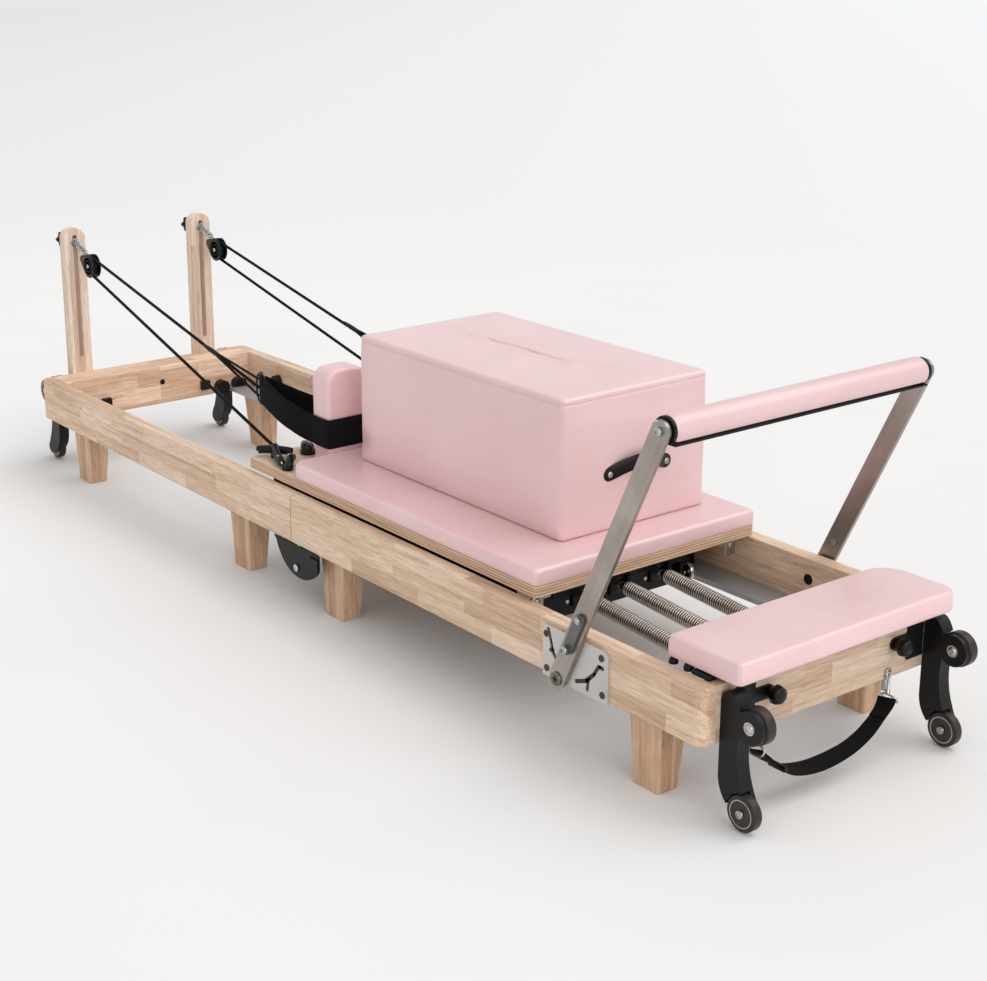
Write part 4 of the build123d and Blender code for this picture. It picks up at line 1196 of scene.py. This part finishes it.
def hanger(hand, y):
    """Lobed knob behind the riser, its bolt through the slot, and the eye and chain in front."""
    piece = Piece(f"chain_hanger_{hand}")
    knob = []
    for t in around(60):
        lobe = 19.4 + 2.6 * math.cos(6 * t)
        knob.append((y + lobe * math.cos(t), HANGER_Z + lobe * math.sin(t)))
    piece.add(slab(knob, RISER_FACE - 72, 15, "yz"), "black", 2.2)
    for profile, offset, sides, material in (
        ([(0, 12), (8, 12), (16, 9.5), (26.7, 9.5)], -57, 20, "black"),
        ([(0, 4.8), (37, 4.8)], -33, 16, "steel"),
        ([(0, 11.5), (2.0, 11.5), (2.4, 9)], 0.3, 24, "steel"),
    ):
        piece.add(turned(profile, (RISER_FACE + offset, y, HANGER_Z), ALONG_X, sides), material)
    eye = [Vector((RISER_FACE + 12 + 8 * math.cos(t), y, HANGER_Z + 8 * math.sin(t))) for t in around(16)]
    piece.add(tube(eye, 2.6, 8, closed=True), "steel")
    chain(piece, Vector((RISER_FACE + 17, y, 590)), Vector((RISER_FACE + 63, y, 574)), 5)
    piece.done(f"pulley_{hand}", [f"pulley_hanger_{hand}"], "bolt_steel", 50)


def pulley_block(hand, y):
    """Two drop-shaped cheeks with raised rings, and the pins between them."""
    cx, cz = BLOCK
    piece = Piece(f"block_cheeks_{hand}")
    outline = []
    for k in range(29):
        t = math.radians(-118 + 236 * k / 28) - 0.35
        outline.append((cx + 30.5 * math.cos(t), cz + 30.5 * math.sin(t)))
    for k in range(9):
        t = math.radians(110 + 140 * k / 8) - 0.35
        outline.append((cx - 36 + 11 * math.cos(t), cz + 13 + 11 * math.sin(t)))
    for low in (-11.0, 7.6):
        piece.add(slab(outline, y + low, 3.4), "black_gloss", 1.0)
    for low, step in ((-11.0, -1.6), (11.0, 1.6)):
        face = (cx, y + low, cz)
        for outer, inner in ((26, 22), (16, 13)):
            ring = [(0, outer), (step, outer - 1), (step, inner + 1), (0, inner)]
            piece.add(turned(ring, face, ALONG_Y, 32), "black_gloss")
        rivet = [(0, 5.6), (step * 1.2, 5.2), (step * 1.4, 3.6), (step * 1.4, 0)]
        piece.add(turned(rivet, face, ALONG_Y, 20), "steel")
    for r, place in ((4.2, (cx - 35, y, cz + 12.4)), (3.9, (cx, y, cz))):
        piece.add(turned([(-7.6, r), (7.6, r)], place, ALONG_Y, 16), "steel")
    piece.done(f"pulley_{hand}", [f"pulley_block_{hand}"], "black_plastic", 45)


def pulleys():
    for side, hand in HANDS:
        y = side * BLOCK_Y
        hanger(hand, y)
        pulley_block(hand, y)
        wheel = Piece(f"sheave_wheel_{hand}")
        groove = [(-4.8 * math.cos(t), 24 - 5.0 * math.sin(t)) for t in (math.pi * k / 8 for k in range(9))]
        rim = [(-6, 4.2), (-6, 23.2), (-5.6, 24), *groove, (5.6, 24), (6, 23.2), (6, 4.2)]
        wheel.add(turned(rim, (BLOCK[0], y, BLOCK[1]), ALONG_Y, 40, closed=True), "black_gloss")
        wheel.done(f"sheave_{hand}", [f"sheave_{hand}"], "black_plastic", 50)


# ---- wheels ----
UPPER_WHEEL, LOWER_WHEEL = (1296.0, 189.0, 22.0), (1286.5, 34.0, 20.0)
WHEEL_R = 32.0
WHEEL_Y = {
    ("foot", "upper", "right"): -258.5, ("foot", "upper", "left"): 249.5,
    ("foot", "lower", "right"): -269.0, ("foot", "lower", "left"): 239.0,
    ("head", "upper", "right"): -271.5, ("head", "upper", "left"): 236.5,
    ("head", "lower", "right"): -259.0, ("head", "lower", "left"): 249.0,
}


def wheels():
    """Eight wheels: a worn tyre, a metal ring and a dished hub with a ring of holes on each face."""
    r = WHEEL_R
    for (end, level_name, hand), y in WHEEL_Y.items():
        name = f"{end}_{level_name}_wheel_{hand}"
        x, z, thick = UPPER_WHEEL if level_name == "upper" else LOWER_WHEEL
        x = x if end == "foot" else -x
        piece = Piece(name + "_detail")
        centre = (x, y, z)
        turns = [math.pi / 2 * k / 5 for k in range(6)]
        tyre = [(0.4, 24.5), (0.4, r - 4)]
        tyre += [(4 - 3.6 * math.cos(t), r - 4 + 4 * math.sin(t)) for t in turns[1:]]
        tyre += [(thick - 4 + 3.6 * math.sin(t), r - 4 + 4 * math.cos(t)) for t in turns[:-1]]
        tyre += [(thick - 0.4, r - 4), (thick - 0.4, 24.5)]
        piece.add(turned(tyre, centre, ALONG_Y, 48, closed=True), "tyre")
        for level, sign in ((0.0, 1), (thick, -1)):
            def face(*profile):
                return [(level + sign * out, radius) for out, radius in profile]

            ring = face((0, 22.6), (0, 24.6), (1.6, 24.9), (3, 22.2))
            piece.add(turned(ring, centre, ALONG_Y, 40, closed=True), "steel")
            dish = face((0.4, 22.6), (2.2, 19.5), (3.0, 11.5), (0.8, 10), (0.6, 5.3), (6, 5.3))
            piece.add(turned(dish, centre, ALONG_Y, 40), "hub")
            # painted shade: each hole of the hub is a black disc for the shade inside it
            for t in around(6):
                place = (x + 15.5 * math.cos(t), y, z + 15.5 * math.sin(t))
                piece.add(turned(face((1.2, 2.4), (2.6, 2.4), (2.6, 0)), place, ALONG_Y, 10), "black")
        core = [(1.5, 5.25), (1.5, 22.5), (thick - 1.5, 22.5), (thick - 1.5, 5.25)]
        piece.add(turned(core, centre, ALONG_Y, 32, closed=True), "hub")
        piece.done(name, [name], "wheel_polyurethane", 40)
    heads = Piece("wheel_bolt_heads_foot")
    tails = Piece("wheel_bolt_heads_head")
    for y0 in (-268.0, 240.0):
        screw_head(heads, (1296, y0 - 0.2, 189), (0, -1, 0), 8.4, depth=4.0)
        screw_head(heads, (1286.5, y0 - 2, 34), (0, -1, 0), 7.6, depth=4.0)
        heads.add(turned([(0, 11.5), (1.2, 11.2)], (1296, y0, 189), (0, -1, 0), 28), "steel")
        screw_head(tails, (-1296, -y0 + 0.2, 189), ALONG_Y, 8.4, depth=4.0)
        screw_head(tails, (-1286.5, -y0 + 2, 34), ALONG_Y, 7.6, depth=4.0)
    heads.done("foot_frame", [], "bolt_steel", 40)
    tails.done("head_frame", [], "bolt_steel", 40)


# ---- strap across the foot end ----
def foot_strap():
    """Webbing that hangs between two snap hooks, folded back on itself at both ends."""
    path = smooth_path([
        (1248, 131, 114), (1251, 120, 100), (1254, 96, 84), (1256, 60, 64), (1257, 10, 50), (1256, -60, 45),
        (1254, -120, 55), (1251, -160, 76), (1248, -190, 102), (1246, -197, 110)], 8)
    across = [Vector((1.0, 0.05 * math.sin(i * 0.35), 0.22 * math.sin(i * 0.11))) for i in range(len(path))]
    piece = Piece("hanging_strap")
    piece.add(band(path, across, 38, 2.4), "web")
    for folded in (path[2:16], path[-18:-2]):
        fold = [p + Vector((0, 0, 3.2)) for p in folded]
        piece.add(band(fold, across[2 : 2 + len(fold)], 37, 2.0), "web")
    p = path[-20]
    piece.add(block((p.x - 19, p.y - 4, p.z - 3), (p.x + 19, p.y + 4, p.z + 7)), "black_gloss", 1.2)
    piece.done("foot_frame", ["foot_strap"], "black_webbing", 50)
    clips = Piece("strap_clips")
    for y, lean in ((138.0, 1), (-200.0, -1)):
        ring = [Vector((1249 + 17 * math.cos(t), y - lean * (2 + 5 * math.sin(t)), 112 + 8 * math.sin(t)))
                for t in around(20)]
        clips.add(tube(ring, 1.9, 8, closed=True), "steel")
        hook = [(1240, 2, 120), (1238, 6, 126), (1236, 9, 136), (1235, 13, 146), (1235, 9, 153),
                (1236, 3, 151), (1237, 3, 142)]
        clips.add(tube(smooth_path([(hx, y + lean * out, hz) for hx, out, hz in hook], 5), 2.3, 8), "steel")
        stem = [(0, 4.2), (7, 4.6), (9, 3.0)]
        clips.add(turned(stem, (1241, y + lean, 116), (-0.1, lean * 0.35, 1), 14), "steel")
        eye = [Vector((1234.5, y + lean * 9 + 7 * math.cos(t), 152 + 7 * math.sin(t))) for t in around(16)]
        clips.add(tube(eye, 1.8, 8, closed=True), "steel")
    clips.done("foot_frame", [], "bolt_steel", 50)


# ---- knobs, handle and small trim ----
KNOB_Z = 203.0


def knobs():
    """Seven-lobed clamp knobs of the platform, each on a short stud."""
    x = 1232.0
    profile = [(5.5, 8.5), (13, 9), (15, 12), (16.5, 15.5), (19, 16.9), (24, 16.9), (29, 15.8), (32.5, 13.0),
               (34.2, 8.0), (34.8, 0)]
    for side, hand in HANDS:
        y = side * 160.0
        piece = Piece(f"clamp_knob_{hand}")
        verts, faces = turned(profile, (x, y, KNOB_Z), ALONG_X, 56)
        shaped = []
        for v in verts:
            dy, dz = v[1] - y, v[2] - KNOB_Z
            fade = min(1.0, max(0.0, (math.hypot(dy, dz) - 11) / 4))
            lobe = 1 - 0.07 * (0.5 + 0.5 * math.cos(7 * math.atan2(dz, dy))) * fade
            shaped.append((v[0], y + dy * lobe, KNOB_Z + dz * lobe))
        piece.add((shaped, faces), "black_gloss")
        piece.add(turned([(-20, 3.9), (6, 3.9)], (x, y, KNOB_Z), ALONG_X, 14), "steel")
        piece.done(f"platform_knob_{hand}", [f"platform_knob_{hand}"], "black_plastic", 50)


def box_handle():
    """Bowed strap handle on the end of the box, held by a plate and screw at each end."""
    face, z = 695.6, 416
    centre = [(2.8, -35, 0), (4, -28, 3), (10, -8, 11), (17, 15, 18), (19, 38, 20), (17, 60, 18),
              (10, 84, 11), (4, 102, 3), (2.8, 110, 0)]
    path = smooth_path([(face + out, y, z + rise) for out, y, rise in centre], 7)
    piece = Piece("carry_handle")
    piece.add(band(path, ALONG_Z, 29, 4.0), "black_gloss")
    piece.add(band([p + Vector((2.4, 0, 0)) for p in path[6:-6]], ALONG_Z, 18, 1.2), "black")
    for y in (-35, 110):
        plate = [(-1.5, 14.5), (2.6, 14.2), (4.0, 12.5), (4.2, 0)]
        piece.add(turned(plate, (face, y, z), ALONG_X, 28), "black_gloss")
        screw_head(piece, (face + 4.8, y, z), ALONG_X, 6.2, depth=2.4)
    piece.done("box", ["box_handle"], "black_plastic", 50)


def platform_trim():
    """Buffers and screws near the standing platform, and painted shade: a dark disc in the hole of each rail."""
    trim = Piece("foot_small_trim")
    for y in (-269, 269):
        trim.add(turned([(0, 8), (5, 8), (9, 6), (10, 0)], (1122, y, 243), ALONG_Z, 18), "black")
        trim.add(turned([(0, 9), (6, 9), (11, 7), (12, 0)], (1158, y, 243), ALONG_Z, 18), "black")
        trim.add(block((1172, y - 9, 243), (1214, y + 9, 252)), "black", 2.0)
    # painted shade: plug is a dark disc standing for the shaded inside of each rail's hole
    plug = [(0.1, 11), (1.0, 10.4), (1.0, 7.5), (0.4, 7.0), (0.4, 0)]
    for side, _ in HANDS:
        trim.add(turned(plug, (926, side * 278, 201), (0, -side, 0), 24), "hole")
    trim.done("foot_frame", [], "black_plastic", 45)


SLOT_HALF = 4.2
PLATE_SLOTS = (
    ((855, 226), (863, 203)), ((863, 203), (868, 186)), ((868, 186), (879, 174)), ((861, 188), (868, 190)),
    ((930, 153), (955, 162)), ((955, 162), (975, 180)), ((975, 180), (988, 200)), ((988, 200), (998, 200)),
    ((960, 148), (962, 166)),
)


def plate_trim():
    """Screws and pivot of the slotted side plates, with painted shade: a dark sheet in each slot and a dark cross in
    the pivot's recess.
    """
    screws = Piece("foot_screw_heads")
    screw = [(0, 6.4), (1.3, 6.3), (1.6, 5.8), (1.6, 3.0), (1.4, 2.6), (1.4, 0)]
    pivot = [(0, 13.2), (2.4, 13.0), (3.6, 11.6), (3.8, 9.2), (3.0, 8.4), (3.0, 0)]
    for side, _ in HANDS:
        for x, z in ((850, 216), (852, 151), (995, 218), (999, 151)):
            screws.add(turned(screw, (x, side * 314.2, z), (0, side, 0), 20), "slot")
        face = side * 324.4
        screws.add(turned(pivot, (890, face, 146), (0, side, 0), 32), "dark_steel")
        # painted shade: a dark cross for the recess in the pivot head
        for dx, dz in ((6.4, 1.5), (1.5, 6.4)):
            y0, y1 = sorted((face + side * 2.8, face + side * 3.3))
            screws.add(block((890 - dx, y0, 146 - dz), (890 + dx, y1, 146 + dz)), "hole")
        # painted shade: a dark sheet in each slot, where the slot's inside is in shade
        for a, b in PLATE_SLOTS:
            turn = math.atan2(b[1] - a[1], b[0] - a[0])
            outline = []
            for (x, z), first in ((a, 0.5), (b, -0.5)):
                for k in range(9):
                    t = turn + math.pi * (first + k / 8)
                    outline.append((x + SLOT_HALF * math.cos(t), z + SLOT_HALF * math.sin(t)))
            screws.add(slab(outline, side * 310.1, side * 0.9), "slot")
    screws.done("foot_frame", [], "bolt_steel", 45)


def footbar_trim():
    """Bolt heads of the footbar and its levers, and the rivets of the fold hinge."""
    bolts = Piece("footbar_screw_heads")
    for side, _ in HANDS:
        screw_head(bolts, (1128, side * 327.8, 653), (0, side, 0), 7.6, depth=3.2)
        small = [(0, 3.2), (1.0, 2.8), (1.0, 0)]
        bolts.add(turned(small, (1120, side * 324, 668), (0, side, 0), 14), "steel")
    bolts.done("footbar", [], "bolt_steel", 45)
    for side, hand in HANDS:
        pins = Piece(f"lever_pin_{hand}")
        screw_head(pins, (922, side * 336.6, 214), (0, side, 0), 8.4, depth=4.0)
        pin = [(0, 5.2), (2.2, 4.6), (2.6, 0)]
        pins.add(turned(pin, (951.5, side * 332.6, 277), (0, side, 0), 16), "steel")
        pins.done(f"lock_lever_{hand}", [], "bolt_steel", 45)
    rivets = Piece("hinge_rivets")
    rivet = [(0, 8.6), (1.2, 8.4), (2.2, 6.5), (2.4, 3.0), (1.6, 2.4), (1.6, 0)]
    for side, _ in HANDS:
        rivets.add(turned(rivet, (26, side * 316.2, 90), (0, side, 0), 24), "steel")
    rivets.done("foot_frame", [], "bolt_steel", 45)


def carriage_trim():
    """Brackets, guide roller and spring fittings on the foot end of the carriage."""
    under = Piece("carriage_fittings")
    for side, _ in HANDS:
        y0, y1 = spread(side, 234.5, 262)
        under.add(block((735, y0, 240), (768, y1, 249.5)), "steel", 1.0)
        under.add(block((743, y0, 205), (747, y1, 249.5)), "steel", 1.0)
        screw_head(under, (747, side * 249, 226), ALONG_X, 7.0)
    roller = (733, 141, 190)
    tread = [(0, 8), (0, 16), (1, 17), (8, 17), (9, 16), (9, 8)]
    under.add(turned(tread, roller, ALONG_Y, 28, closed=True), "steel")
    under.add(turned([(0.8, 0), (0.8, 14), (8.2, 14), (8.2, 0)], roller, ALONG_Y, 28), "black")
    under.add(turned([(-8, 4), (14, 4)], roller, ALONG_Y, 14), "steel")
    under.add(block((721, 118, 172), (742, 124, 214)), "black_gloss", 1.0)
    rivet = [(0, 4.4), (2, 4.2), (2.6, 0)]
    for y in (-132, -38, 66):
        under.add(block((721.4, y - 13, 184), (727, y + 13, 214)), "black", 1.5)
        screw_head(under, (732.2, y + 2, 231), ALONG_X, 5.4)
        under.add(block((724, y + 17, 190), (742, y + 29, 222)), "black_gloss", 2.0)
        under.add(turned(rivet, (721.2, y - 24, 196), ALONG_X, 16), "steel")
    under.add(turned(rivet, (721.2, 108, 226), ALONG_X, 16), "steel")
    under.done("carriage", [], "black_metal", 45)


def head_trim():
    """Painted shade: a dark line in the gap where the two halves of the frame meet, and dark fill in the hole and
    marks of the head beam.
    """
    seam = Piece("fold_joint_shadow")
    for side, _ in HANDS:
        y0, y1 = spread(side, 279.0, 309.3)
        seam.add(block((-0.95, y0, 141.0), (0.95, y1, 242.0)), "hole")
    seam.done("head_frame", [], "black_plastic", 45)
    holes = Piece("head_beam_marks")
    face = -1152.0
    # painted shade: the hole in the head beam is a dark disc
    holes.add(turned([(0, 7.6), (0.6, 7.4), (0.4, 5.6), (0.4, 0)], (face, 6, 200), ALONG_X, 24), "hole")
    for y, z in ((-150, 190), (-142, 176), (-120, 182)):
        holes.add(turned([(0, 1), (0.3, 0.9), (0.3, 0)], (face, y, z), ALONG_X, 14), "hole")
    holes.done("head_frame", [], "black_plastic", 45)


camera()
studio()
dress_cad()
cushions()
springs()
ropes()
loops_and_rings()
cleats()
pulleys()
wheels()
foot_strap()
knobs()
box_handle()
platform_trim()
plate_trim()
footbar_trim()
carriage_trim()
head_trim()

low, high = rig.bounds()
with open("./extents.json", "w") as out:
    json.dump(
        {
            "cad": [list(cad_low), list(cad_high)],
            "visual": [list(low), list(high)],
        },
        out,
    )
